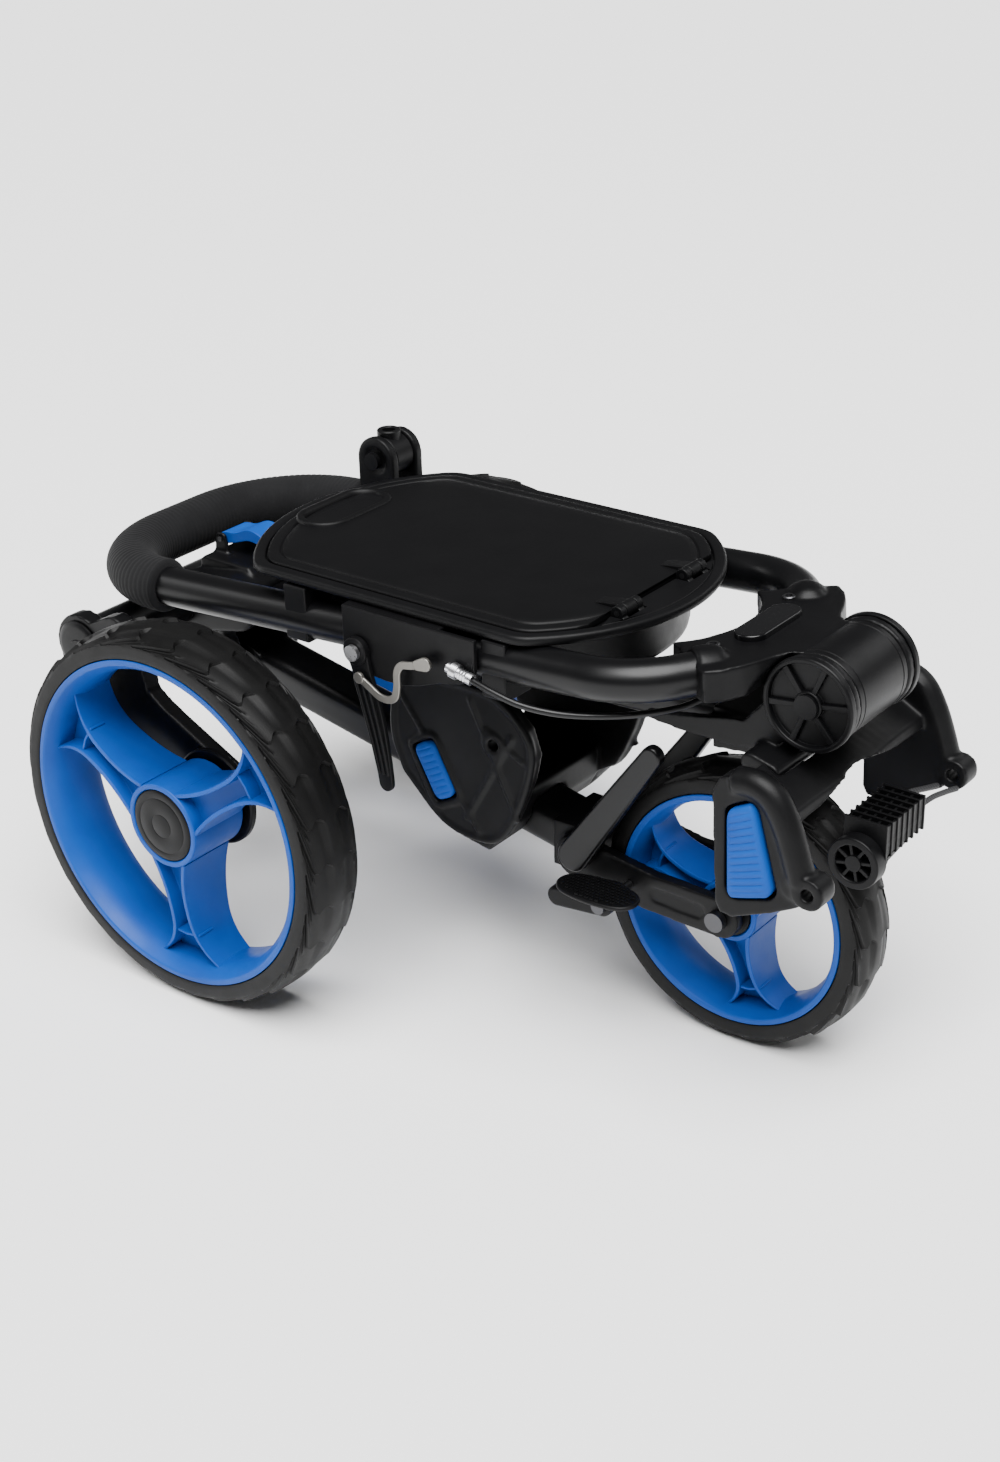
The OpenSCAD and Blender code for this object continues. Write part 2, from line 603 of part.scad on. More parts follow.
// Hand lever with a long finger groove
module brake_lever() color("#2a2a2e") difference() {
    across(lever_y0, lever_y1) link2d(lever_pivot, 10, lever_tip, 6);
    pin_y(lever_pivot, 3 + fit, lever_y0 - eps, lever_y1 + eps);
    pin_y(link_pin, 2, lever_y0 - eps, lever_y1 + eps);
    across(lever_y0 - eps, lever_y0 + 2) link2d([-13, 232], 3, [-4, 192], 2);
}
link_y0 = lever_y0 - 3.2;
link_y1 = lever_y0 - 0.4;
module brake_link() color("#b9b9bd") {
    across(link_y0, link_y1) {
        link2d(link_pin, 4, [2, 248], 4);
        link2d([2, 248], 4, [14, 252], 4);
        link2d([14, 252], 4, [18, 276], 4);
        link2d([18, 276], 4, [40, 282], 5);
    }
    pin_y(link_pin, 1.95, link_y0, lever_y1);
}
adjuster_a = [56, (plate_y - 6), 284];
adjuster_b = [76, (plate_y - 5), 279];
module cable_adjuster() color("#c8c8cc") {
    bar(adjuster_a, adjuster_b, 4);
    bar(adjuster_a + [5, 0.2, -1.2], adjuster_a + [10, 0.4, -2.4], 5.4);
}
cable_route = [[76, -125, 279], [92, -125, 275], [112, -122, 270], [134, -114, 267],
    [156, -101, 266], [176, -84, 266], [194, -64, 268], [205, -51, 274], [208, -48, 281]];
module brake_cable() color("#101012") swept(cable_route, cable_d / 2, 4);

// ---- accessory knuckle on the right-hand tube ----

ear_y = 10;
module knuckle_clamp() color("#19191b") difference() {
    union() {
        translate([knuckle_pivot[0], tube_y, 0]) {
            across(-ear_y - 8, -ear_y) {
                translate([0, knuckle_pivot[1]]) circle(r = 18);
                translate([-18, 262]) square([36, 54]);
            }
            across(ear_y, ear_y + 8) {
                translate([0, knuckle_pivot[1]]) circle(r = 18);
                translate([-18, 262]) square([36, 54]);
            }
            translate([-18, -ear_y - 8, 256]) cube([36, 2 * ear_y + 16, 36]);
        }
    }
    ring_plane() straight_x(knuckle_pivot[0] - 30, knuckle_pivot[0] + 30, tube_y, tube_r + 0.02);
    pin_y(knuckle_pivot, 4, 60, 140);
    pin_y(knuckle_pivot, 20, tube_y - ear_y, tube_y + ear_y);
}
module knuckle_bolt() color("silver") {
    pin_y(knuckle_pivot, 3.95, tube_y - ear_y - 9, tube_y + ear_y + 9);
    for (y = [tube_y - ear_y - 10.5, tube_y + ear_y + 10.5]) pin_y(knuckle_pivot, 6.5, y - 2, y + 2);
}
// Swivelling socket for an umbrella holder
module accessory_knuckle() color("#222225") difference() {
    union() {
        pin_y(knuckle_pivot, 16, tube_y - ear_y + gap, tube_y + ear_y - gap);
        translate([knuckle_pivot[0], tube_y, knuckle_pivot[1]]) cylinder(r = 9, h = 20);
    }
    pin_y(knuckle_pivot, 4 + fit, 60, 140);
    translate([knuckle_pivot[0], tube_y, knuckle_pivot[1] + 6]) cylinder(r = socket_r, h = 30);
}

// ---- foot pedal and release lever ----

// Foot pedal that frees the folded arm; it turns on a pin in the left fork blade
pedal_y0 = -70;
pedal_y1 = -44.6;
module fold_pedal() color("#1e1e21") difference() {
    union() {
        across(pedal_y0, pedal_y1) link2d(pedal_pivot, 9, [97, 101], 8);
        translate([0, 0, 111.6]) linear_extrude(4.4) link2d([112, -72], 16, [144, -72], 15.9);
    }
    pin_y(pedal_pivot, 3 + fit, pedal_y0 - eps, pedal_y1 + eps);
}
module pedal_pin() color("silver") {
    pin_y(pedal_pivot, 2.98, pedal_y0 - 0.5, -front_wheel_w / 2 - 2.2);
    pin_y(pedal_pivot, 5, pedal_y0 - 2.5, pedal_y0 - 0.4);
}
// Catch that holds the handle and the legs folded
module release_lever() color("#1f86e6") difference() {
    union() {
        across(-9, 16) link2d(release_pivot, 5, [-226, 274], 5);
        across(-9, 16) link2d([-226, 274], 4.8, [-208, 270], 4);
    }
    pin_y(release_pivot, 2 + fit, -30, 30);
}
module release_pin() color("silver") pin_y(release_pivot, 1.98, -13.5, 20.5);

spine_beam();
spine_head();
barrel_caps();
barrel_bolt();
upper_bracket();
upper_pads();
strap_clip();
bungee_cord();
hinge_housing();
leg_shaft();
arm_pin();
release_pin();
handle_tube();
foam_grip();
yoke();
badge_plate();
yoke_screws();
barrel_shell();
barrel_bushes();
console_tray();
console_clamps();
tray_screws();
lid_pin();
brake_bracket();
lever_screw();
cable_adjuster();
brake_cable();
knuckle_clamp();
knuckle_bolt();
console_lid();
lid_latch();
accessory_knuckle();
brake_lever();
brake_link();
release_lever();
left_leg();
right_leg();
leg_sleeves();
rear_axles();
brake_drums();
left_tyre();
left_rim();
left_hub_cap();
left_bearings();
right_tyre();
right_rim();
right_hub_cap();
right_bearings();
front_arm();
fork();
front_axle_bolt();
lower_bracket();
lower_pads();
fold_struts();
front_tyre();
front_rim();
front_hub_caps();
front_bearings();
pedal_pin();
fold_pedal();
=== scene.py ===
"""Looks of the folded golf push trolley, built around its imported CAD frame. Lengths in this file are
millimetres unless a name ends in _m; mesh_piece() turns them into metres."""
import json
import math

import bmesh
import bpy
import numpy as np
from mathutils import Matrix, Vector

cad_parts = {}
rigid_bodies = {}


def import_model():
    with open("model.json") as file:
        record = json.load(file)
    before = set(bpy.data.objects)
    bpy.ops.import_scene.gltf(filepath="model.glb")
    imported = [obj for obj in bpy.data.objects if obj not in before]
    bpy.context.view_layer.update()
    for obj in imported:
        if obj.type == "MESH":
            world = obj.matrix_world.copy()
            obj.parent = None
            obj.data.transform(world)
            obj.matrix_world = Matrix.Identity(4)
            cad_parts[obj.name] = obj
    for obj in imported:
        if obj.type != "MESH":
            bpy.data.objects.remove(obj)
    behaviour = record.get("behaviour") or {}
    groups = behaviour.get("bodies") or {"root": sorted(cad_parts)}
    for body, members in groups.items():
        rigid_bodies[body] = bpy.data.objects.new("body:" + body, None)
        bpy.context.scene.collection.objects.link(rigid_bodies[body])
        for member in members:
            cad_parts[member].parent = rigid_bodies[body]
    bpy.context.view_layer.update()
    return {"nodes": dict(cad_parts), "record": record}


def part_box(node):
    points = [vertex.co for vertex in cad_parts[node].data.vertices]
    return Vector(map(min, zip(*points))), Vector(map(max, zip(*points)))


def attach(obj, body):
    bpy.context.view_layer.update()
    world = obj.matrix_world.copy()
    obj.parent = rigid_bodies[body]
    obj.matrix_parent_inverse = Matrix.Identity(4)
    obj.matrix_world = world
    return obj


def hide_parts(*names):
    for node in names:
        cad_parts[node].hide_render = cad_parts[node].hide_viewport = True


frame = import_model()
MM = 0.001
JOINTS = {j["name"]: j for j in frame["record"]["behaviour"]["joints"]}


def pivot(name):
    """A joint's place in millimetres."""
    return np.array(JOINTS[name]["pos_m"]) / MM


def pivot_xz(name):
    """A joint's place in X and Z, for the outlines of plates."""
    place = pivot(name)
    return place[0], place[2]


def node_box(name):
    """A CAD node's lowest and highest corner in millimetres."""
    lo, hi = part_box(name)
    return np.array(lo) / MM, np.array(hi) / MM


# ---- materials ----


def new_material(name):
    mat = bpy.data.materials.new(name)
    mat.use_nodes = True
    return mat, mat.node_tree.nodes, mat.node_tree.links, mat.node_tree.nodes["Principled BSDF"]


def noise(nodes, links, coords, scale, detail=4.0, rough=0.6):
    tex = nodes.new("ShaderNodeTexNoise")
    tex.inputs["Scale"].default_value = scale
    tex.inputs["Detail"].default_value = detail
    tex.inputs["Roughness"].default_value = rough
    links.new(coords, tex.inputs["Vector"])
    return tex.outputs["Fac"]


def ramp(nodes, links, value, low, high, out_low, out_high):
    node = nodes.new("ShaderNodeMapRange")
    node.inputs["From Min"].default_value = low
    node.inputs["From Max"].default_value = high
    node.inputs["To Min"].default_value = out_low
    node.inputs["To Max"].default_value = out_high
    links.new(value, node.inputs["Value"])
    return node.outputs["Result"]


def tint(nodes, links, factor, dark, light):
    mix = nodes.new("ShaderNodeMix")
    mix.data_type = "RGBA"
    mix.inputs["A"].default_value = (*dark, 1)
    mix.inputs["B"].default_value = (*light, 1)
    links.new(factor, mix.inputs["Factor"])
    return mix.outputs["Result"]


def bump(nodes, links, height, strength, distance, normal=None):
    node = nodes.new("ShaderNodeBump")
    node.inputs["Strength"].default_value = strength
    node.inputs["Distance"].default_value = distance
    links.new(height, node.inputs["Height"])
    if normal is not None:
        links.new(normal, node.inputs["Normal"])
    return node.outputs["Normal"]


def moulded(name, dark, light, rough, grain=900.0, grain_depth=0.00006, coat=0.0, sheen=0.0, uneven=1.0,
            gloss=0.4):
    """Moulded, painted or cast surface: cloudy colour, uneven gloss, a fine grain and soft waviness."""
    mat, nodes, links, shader = new_material(name)
    coords = nodes.new("ShaderNodeTexCoord").outputs["Object"]
    cloud = noise(nodes, links, coords, 22.0, 5.0)
    links.new(tint(nodes, links, ramp(nodes, links, cloud, 0.3, 0.7, 0, 1), dark, light),
              shader.inputs["Base Color"])
    smear = noise(nodes, links, coords, 60.0, 6.0, 0.7)
    links.new(ramp(nodes, links, smear, 0.3, 0.75, rough - 0.05 * uneven, rough + 0.08 * uneven),
              shader.inputs["Roughness"])
    fine = noise(nodes, links, coords, grain, 2.0)
    wave = noise(nodes, links, coords, 35.0, 1.0)
    soft = bump(nodes, links, wave, 0.25, 0.0004 * uneven)
    links.new(bump(nodes, links, fine, 0.5, grain_depth, soft), shader.inputs["Normal"])
    shader.inputs["Specular IOR Level"].default_value = gloss
    shader.inputs["Coat Weight"].default_value = coat
    shader.inputs["Coat Roughness"].default_value = 0.18
    shader.inputs["Sheen Weight"].default_value = sheen
    return mat


def brushed(name, colour, rough):
    """Zinc-plated or turned steel with fine directional marks."""
    mat, nodes, links, shader = new_material(name)
    coords = nodes.new("ShaderNodeTexCoord").outputs["Object"]
    stretch = nodes.new("ShaderNodeMapping")
    stretch.inputs["Scale"].default_value = (1.0, 14.0, 1.0)
    links.new(coords, stretch.inputs["Vector"])
    marks = noise(nodes, links, stretch.outputs["Vector"], 260.0, 6.0, 0.75)
    links.new(tint(nodes, links, marks, tuple(0.8 * c for c in colour), colour), shader.inputs["Base Color"])
    links.new(ramp(nodes, links, marks, 0.2, 0.8, rough - 0.08, rough + 0.12), shader.inputs["Roughness"])
    links.new(bump(nodes, links, marks, 0.3, 0.00004), shader.inputs["Normal"])
    shader.inputs["Metallic"].default_value = 1.0
    return mat


def braided(name, dark, light, scale):
    """Woven sheath of an elastic cord."""
    mat, nodes, links, shader = new_material(name)
    coords = nodes.new("ShaderNodeTexCoord").outputs["Object"]
    wave = nodes.new("ShaderNodeTexWave")
    wave.wave_type = "BANDS"
    wave.bands_direction = "DIAGONAL"
    wave.inputs["Scale"].default_value = scale
    wave.inputs["Distortion"].default_value = 0.6
    links.new(coords, wave.inputs["Vector"])
    links.new(tint(nodes, links, wave.outputs["Fac"], dark, light), shader.inputs["Base Color"])
    links.new(bump(nodes, links, wave.outputs["Fac"], 0.8, 0.0003), shader.inputs["Normal"])
    shader.inputs["Roughness"].default_value = 0.75
    return mat


BLUE = moulded("blue_moulding", (0.0006, 0.046, 0.26), (0.0009, 0.060, 0.32), 0.44, 700.0, 0.00003, gloss=0.2)
BLUE_SOFT = moulded("blue_soft_rubber", (0.0006, 0.048, 0.27), (0.0010, 0.064, 0.33), 0.54, 1100.0, 0.00006,
                    gloss=0.16)
PLASTIC = moulded("black_moulding", (0.0018, 0.0018, 0.0021), (0.0030, 0.0030, 0.0034), 0.44, 1300.0, 0.00008,
                  gloss=0.15)
LID = moulded("lid_moulding", (0.0022, 0.0022, 0.0025), (0.0029, 0.0029, 0.0032), 0.46, 1700.0, 0.00005,
              uneven=0.5, gloss=0.14)
CASTING = moulded("black_casting", (0.0017, 0.0017, 0.0020), (0.0028, 0.0028, 0.0032), 0.40, 1000.0, 0.00008,
                  uneven=0.6, gloss=0.16)
PAINT = moulded("black_paint", (0.0016, 0.0016, 0.0019), (0.0024, 0.0024, 0.0028), 0.32, 1500.0, 0.00003,
                uneven=0.25, gloss=0.26)
FOAM = moulded("foam_grip", (0.0036, 0.0036, 0.0040), (0.0066, 0.0066, 0.0072), 0.86, 420.0, 0.00030,
               sheen=0.04, gloss=0.16)
TYRE = moulded("tyre_rubber", (0.0020, 0.0020, 0.0022), (0.0038, 0.0037, 0.0036), 0.50, 1000.0, 0.00010,
               gloss=0.17)
BADGE = moulded("badge_gloss", (0.0022, 0.0022, 0.0026), (0.0032, 0.0032, 0.0036), 0.24, 1500.0, 0.00002,
                coat=0.15, uneven=0.4, gloss=0.25)
CABLE = moulded("cable_casing", (0.0020, 0.0020, 0.0023), (0.0036, 0.0036, 0.0040), 0.32, 1800.0, 0.00005,
                gloss=0.3)
STEEL = brushed("zinc_steel", (0.74, 0.74, 0.76), 0.28)
DULL_STEEL = brushed("dull_steel", (0.26, 0.25, 0.23), 0.42)
DARK_STEEL = brushed("black_screw", (0.09, 0.09, 0.095), 0.38)
BRONZE = brushed("bronze", (0.62, 0.46, 0.22), 0.35)
CORD = braided("elastic_cord", (0.004, 0.004, 0.0045), (0.020, 0.020, 0.022), 260.0)

# ---- mesh tools ----


def mesh_piece(name, verts, faces, mat, body, sharp=None):
    """A mesh from points in millimetres, riding on a body; edges past sharp degrees stay sharp."""
    mesh = bpy.data.meshes.new(name)
    mesh.from_pydata((np.asarray(verts, float) * MM).tolist(), [], faces)
    mesh.validate()
    mesh.update()
    bm = bmesh.new()
    bm.from_mesh(mesh)
    bmesh.ops.remove_doubles(bm, verts=bm.verts, dist=2e-6)
    bmesh.ops.recalc_face_normals(bm, faces=bm.faces)
    bm.to_mesh(mesh)
    bm.free()
    obj = bpy.data.objects.new(name, mesh)
    bpy.context.collection.objects.link(obj)
    mesh.materials.append(mat)
    mesh.polygons.foreach_set("use_smooth", [True] * len(mesh.polygons))
    if body:
        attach(obj, body)
    if sharp:
        mesh.set_sharp_from_angle(angle=math.radians(sharp))
    return obj


def bake(obj):
    """Applies an object's modifiers to its mesh."""
    graph = bpy.context.evaluated_depsgraph_get()
    graph.update()
    mesh = bpy.data.meshes.new_from_object(obj.evaluated_get(graph), depsgraph=graph)
    old = obj.data
    obj.modifiers.clear()
    obj.data = mesh
    mesh.name = obj.name
    bpy.data.meshes.remove(old)
    return obj


def soften(obj, width, segments=3, angle=35):
    """Rounds the sharp edges and keeps the flats flat."""
    mod = obj.modifiers.new("bevel", "BEVEL")
    mod.width = width * MM
    mod.segments = segments
    mod.limit_method = "ANGLE"
    mod.angle_limit = math.radians(angle)
    mod.harden_normals = False
    obj.modifiers.new("normals", "WEIGHTED_NORMAL").keep_sharp = False
    return bake(obj)


def grid_faces(rows, cols, wrap_rows=False, wrap_cols=True, start=0):
    faces = []
    for r in range(rows if wrap_rows else rows - 1):
        for c in range(cols if wrap_cols else cols - 1):
            a, b = r * cols + c, ((r + 1) % rows) * cols + c
            d, e = r * cols + (c + 1) % cols, ((r + 1) % rows) * cols + (c + 1) % cols
            faces.append([start + a, start + b, start + e, start + d])
    return faces


def loft(rings):
    """Faces and points through a list of equal rings, closed at both ends."""
    count = len(rings[0])
    verts = np.concatenate([np.asarray(r, float) for r in rings])
    faces = grid_faces(len(rings), count)
    faces += [list(range(count))[::-1], [len(verts) - count + k for k in range(count)]]
    return verts, faces


def revolve(profile, centre, seg=144, closed=True):
    """Turns a profile of (radius, y) points round the Y axis through centre."""
    prof = np.array(profile, float)
    turn = np.linspace(0, 2 * math.pi, seg, endpoint=False)
    rings = [np.column_stack((prof[:, 0] * math.cos(t), prof[:, 1], prof[:, 0] * math.sin(t))) for t in turn]
    verts = np.concatenate(rings) + np.asarray(centre, float)
    return verts, grid_faces(seg, len(prof), wrap_rows=True, wrap_cols=closed)


def turned_ends(profile, at, seg, closed=True):
    """The same turned profile at both sides of the middle plane."""
    return [revolve([(r, side * y) for r, y in profile], (at[0], 0, at[1]), seg, closed) for side in (-1, 1)]


def slab(outline, y0, y1):
    """A flat plate from an outline in X and Z, between y0 and y1."""
    ring = np.array(outline, float)
    low = np.column_stack((ring[:, 0], np.full(len(ring), y0), ring[:, 1]))
    high = np.column_stack((ring[:, 0], np.full(len(ring), y1), ring[:, 1]))
    return loft([low, high])


def plate(outline, z0, z1):
    """A flat plate from an outline in X and Y, between z0 and z1."""
    ring = np.array(outline, float)
    low = np.column_stack((ring, np.full(len(ring), z0)))
    high = np.column_stack((ring, np.full(len(ring), z1)))
    return loft([low, high])


def block(x0, x1, y0, y1, z0, z1):
    """A plain box."""
    return plate([(x0, y0), (x1, y0), (x1, y1), (x0, y1)], z0, z1)


def arc(cx, cy, r, a0, a1, n):
    turn = np.radians(np.linspace(a0, a1, n))
    return np.column_stack((cx + r * np.cos(turn), cy + r * np.sin(turn)))


def circle(cx, cy, r, n):
    """Outline of a full circle with n - 1 points."""
    return arc(cx, cy, r, 0, 360, n)[:-1]


def rib(at, turn, inner, outer):
    """Outline of a straight rib that runs out from a centre; inner and outer are radius and half width."""
    a = math.radians(turn)
    way, flank = np.array((math.cos(a), math.sin(a))), np.array((-math.sin(a), math.cos(a)))
    (r0, w0), (r1, w1) = inner, outer
    return [at + way * r + flank * w for r, w in ((r0, -w0), (r1, -w1), (r1, w1), (r0, w0))]


def stadium(x, y, r, n):
    """Outline of a long oval across the part: two half circles round (x, y) and (x, -y)."""
    return np.concatenate((arc(x, y, r, 0, 180, n), arc(x, -y, r, 180, 360, n)))


def link(a, ra, b, rb, n=14):
    """Outline of a bar with two round ends."""
    a, b = np.array(a, float), np.array(b, float)
    d = b - a
    t = math.degrees(math.atan2(d[1], d[0]))
    s = math.degrees(math.acos((ra - rb) / np.linalg.norm(d)))
    return np.concatenate((arc(*b, rb, t - s, t + s, n), arc(*a, ra, t + s, t + 360 - s, n)))


def rounded(corners, r):
    """Outline of a convex polygon whose corners are rounded to radius r; corners run anticlockwise."""
    pts = np.array(corners, float)
    out = []
    for k, p in enumerate(pts):
        a, b = pts[k - 1] - p, pts[(k + 1) % len(pts)] - p
        a, b = a / np.linalg.norm(a), b / np.linalg.norm(b)
        half = math.acos(float(a @ b)) / 2
        mid = (a + b) / np.linalg.norm(a + b)
        centre = p + mid * r / math.sin(half)
        start = math.degrees(math.atan2(*(p + a * r / math.tan(half) - centre)[::-1]))
        out.append(arc(*centre, r, start, start + 180 - math.degrees(2 * half), 7))
    return np.vstack(out)


def catmull(points, steps):
    """Smooth curve through the points."""
    p = np.array(points, float)
    p = np.vstack((2 * p[0] - p[1], p, 2 * p[-1] - p[-2]))
    out = []
    for i in range(1, len(p) - 2):
        for u in np.linspace(0, 1, steps, endpoint=False):
            a, b, c, d = p[i - 1], p[i], p[i + 1], p[i + 2]
            out.append(0.5 * (2 * b + (c - a) * u + (2 * a - 5 * b + 4 * c - d) * u**2
                              + (3 * b - a - 3 * c + d) * u**3))
    out.append(p[-2])
    return np.array(out)


def sweep(path, radius, seg=24):
    """Tube along a path; radius is a number or one value for each point. Ends are closed with flat caps."""
    path = np.array(path, float)
    radii = np.full(len(path), float(radius)) if np.isscalar(radius) else np.array(radius, float)
    tangent = np.gradient(path, axis=0)
    tangent /= np.linalg.norm(tangent, axis=1)[:, None]
    side = np.cross(tangent[0], (0, 0, 1) if abs(tangent[0][2]) < 0.9 else (1, 0, 0))
    turn = np.linspace(0, 2 * math.pi, seg, endpoint=False)
    rings = []
    for p, t, r in zip(path, tangent, radii):
        side = side - t * side.dot(t)
        side /= np.linalg.norm(side)
        up = np.cross(side, t)
        rings.append(p + r * (np.outer(np.cos(turn), side) + np.outer(np.sin(turn), up)))
    return loft(rings)


def merge(parts):
    """Joins (verts, faces) parts into one."""
    verts, faces, count = [], [], 0
    for v, f in parts:
        verts.append(np.asarray(v, float))
        faces += [[count + i for i in face] for face in f]
        count += len(v)
    return np.concatenate(verts), faces


def cast(name, parts, mat, body, voxel=1.3, smooth=6, cut=()):
    """Melts overlapping parts into one casting with filleted inner corners; cut parts are taken away."""
    obj = mesh_piece(name, *merge(parts), mat, body)
    for k, part in enumerate(cut):
        tool = mesh_piece(f"{name}_tool_{k}", *part, mat, None)
        mod = obj.modifiers.new("first_fuse", "REMESH") if k == 0 else None
        if mod:
            mod.mode = "VOXEL"
            mod.voxel_size = voxel * MM
        away = obj.modifiers.new("cut", "BOOLEAN")
        away.operation = "DIFFERENCE"
        away.object = tool
        away.solver = "EXACT"
    fuse = obj.modifiers.new("fuse", "REMESH")
    fuse.mode = "VOXEL"
    fuse.voxel_size = voxel * MM
    melt = obj.modifiers.new("melt", "SMOOTH")
    melt.factor = 0.5
    melt.iterations = smooth
    bake(obj)
    for k in range(len(cut)):
        tool = bpy.data.objects[f"{name}_tool_{k}"]
        bpy.data.objects.remove(tool)
    obj.data.polygons.foreach_set("use_smooth", [True] * len(obj.data.polygons))
    return obj


def dress(mat, *nodes):
    """Gives carried-over CAD nodes their material."""
    for name in nodes:
        obj = frame["nodes"][name]
        for k in range(len(obj.material_slots)):
            obj.material_slots[k].material = mat
        if not obj.material_slots:
            obj.data.materials.append(mat)


def cylinder_y(centre, r, y0, y1, seg=48):
    """Solid round bar along Y."""
    return revolve([(0.001, y0), (r, y0), (r, y1), (0.001, y1)], (centre[0], 0, centre[-1]), seg,
                   closed=False)


# ---- wheels ----


def tread_edge(s):
    """Place of a tread block's leading edge round the wheel, in pitches; s runs across the tread."""
    t = abs(s)
    return 0.95 * t - 0.55 * math.exp(-((t - 0.62) / 0.22) ** 2) + 0.25 * t * t


def tread_height(u, s):
    """Height of the tread above its base: u runs from one block edge (0) to the next (1)."""
    t = abs(s)
    centre = min(max((t - 0.14) / 0.10, 0.0), 1.0)
    main = (1 - u) ** 1.6
    minor = 0.0
    if t > 0.60:
        fade = min((t - 0.60) / 0.12, 1.0)
        for start in (0.34, 0.66):
            if u >= start:
                minor = max(minor, 0.75 * fade * (1 - min((u - start) / 0.26, 1.0)) ** 1.4)
    return 1.0 - centre * (1 - max(main, minor))


def build_tyre(name, node, body, axis_point, width, lip_r, blocks):
    lo, hi = node_box(node)
    crown = (hi[0] - lo[0]) / 2
    half = width / 2
    depth = 2.6
    shoulder = [(lip_r + 0.4, half - 3.0), (lip_r + 0.8, half - 0.7), (lip_r + 2.2, half - 0.1),
                (lip_r + 4.5, half - 0.4), (crown - 9.5, half - 0.1), (crown - 7.4, half - 0.7)]
    side = [(r, y, None) for r, y in shoulder]
    tread = []
    for k in range(27):
        s = 1 - 2 * k / 26
        y = (half - 1.4) * math.sin(s * math.pi / 2 * 0.96) / math.sin(math.pi / 2 * 0.96)
        bow = abs(y) / (half - 1.4)
        tread.append((crown - 0.15 - 1.6 * bow**2 - 4.2 * bow**7, y, s))
    inner = [(lip_r - 2.6, -half + 7), (lip_r - 2.6, half - 7)]
    profile = side + tread + [(r, -y, None) for r, y, _ in side[::-1]] + [(r, y, None) for r, y in inner]
    per_block = 22
    seg = blocks * per_block
    rings = []
    for j in range(seg):
        ring = []
        for r, y, s in profile:
            shift = tread_edge(1.0)
            if s is not None:
                shift = tread_edge(s)
                r = r - depth * (1 - tread_height((j % per_block) / per_block, s))
            a = 2 * math.pi * (j / per_block + shift) / blocks
            ring.append((r * math.cos(a), y, r * math.sin(a)))
        rings.append(ring)
    verts = np.concatenate([np.array(r) for r in rings]) + np.array(axis_point)
    faces = grid_faces(seg, len(profile), wrap_rows=True, wrap_cols=True)
    tyre = mesh_piece(name, verts, faces, TYRE, body, sharp=32)
    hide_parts(node)


def spoke(phase, hub_r, waist_r, well_r, waist, root, flare, half, side):
    """One flared spoke: two curved ribs with a pocket in front and behind; side picks its outer face."""
    rings = []
    wall = 3.2
    for k in range(29):
        f = k / 28
        r = hub_r - 4 + (well_r + 2 - hub_r + 4) * f
        if r < waist_r:
            v = waist + (root - waist) * ((waist_r - r) / (waist_r - hub_r)) ** 2
        else:
            v = waist + (flare - waist) * ((r - waist_r) / (well_r - waist_r)) ** 3.0
        front = half - 1.0 - 0.34 * half * f**1.2
        back = -half + 6 + 0.15 * half * f
        floor = front - 9 - 5 * f
        under = back + 8
        end = max(v - wall, 0.8)
        sec = [(-v, back), (-v, front), (-end, front), (-end, floor), (end, floor), (end, front), (v, front),
               (v, back), (end, back), (end, under), (-end, under), (-end, back)]
        a = math.radians(phase)
        rings.append([(r * math.cos(a) - w * math.sin(a), side * y, r * math.sin(a) + w * math.cos(a))
                      for w, y in sec])
    return loft(rings)


def build_rim(name, node, body, axis_point, width, lip_r, hub_r, phase, side, sizes):
    half = width / 2
    well = lip_r - sizes["well"]
    profile = [(lip_r, half), (lip_r - 3.6, half), (lip_r - 4.6, half - 0.9), (well + 2.0, half - 8),
               (well + 0.3, half - 18), (well, 0), (well + 0.3, -half + 18), (well + 2.0, -half + 8),
               (lip_r - 4.6, -half + 0.9), (lip_r - 3.6, -half), (lip_r, -half), (lip_r - 0.4, -half + 4.6),
               (lip_r - 3.2, -half + 6), (lip_r - 3.2, half - 6), (lip_r - 0.4, half - 4.6)]
    parts = [revolve(profile, (0, 0, 0), 192)]
    hub = [(hub_r, -side * (half - 4)), (hub_r - 2, -side * (half - 2.5)), (11.2, -side * (half - 2.5)),
           (11.2, side * (half - 4.0)), (hub_r - 4.6, side * (half - 4.0)),
           (hub_r - 4.2, side * (half - 0.6)), (hub_r - 3.4, side * half), (hub_r - 1.0, side * half),
           (hub_r, side * (half - 0.8))]
    parts.append(revolve(hub, (0, 0, 0), 96))
    for k in range(3):
        parts.append(spoke(phase + 120 * k, hub_r, sizes["waist_r"], well, sizes["waist"], sizes["root"],
                           sizes["flare"], half, side))
        a = phase + 120 * k
        web_r = sizes["web_r"]
        web = [(web_r - 1.1, -sizes["web_w"]), (web_r + 1.1, -sizes["web_w"]), (web_r + 2.6, 0),
               (web_r + 1.1, sizes["web_w"]), (web_r - 1.1, sizes["web_w"]), (web_r + 0.6, 0)]
        turn = math.radians(a)
        ring = [(r * math.cos(turn) - w * math.sin(turn), r * math.sin(turn) + w * math.cos(turn))
                for r, w in web]
        top = half * 0.66
        parts.append(slab(ring, side * (top - 14), side * top))
    verts, faces = merge(parts)
    rim = mesh_piece(name, verts + np.array(axis_point), faces, BLUE, body)
    soften(rim, 0.7, 2, 40)
    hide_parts(node)


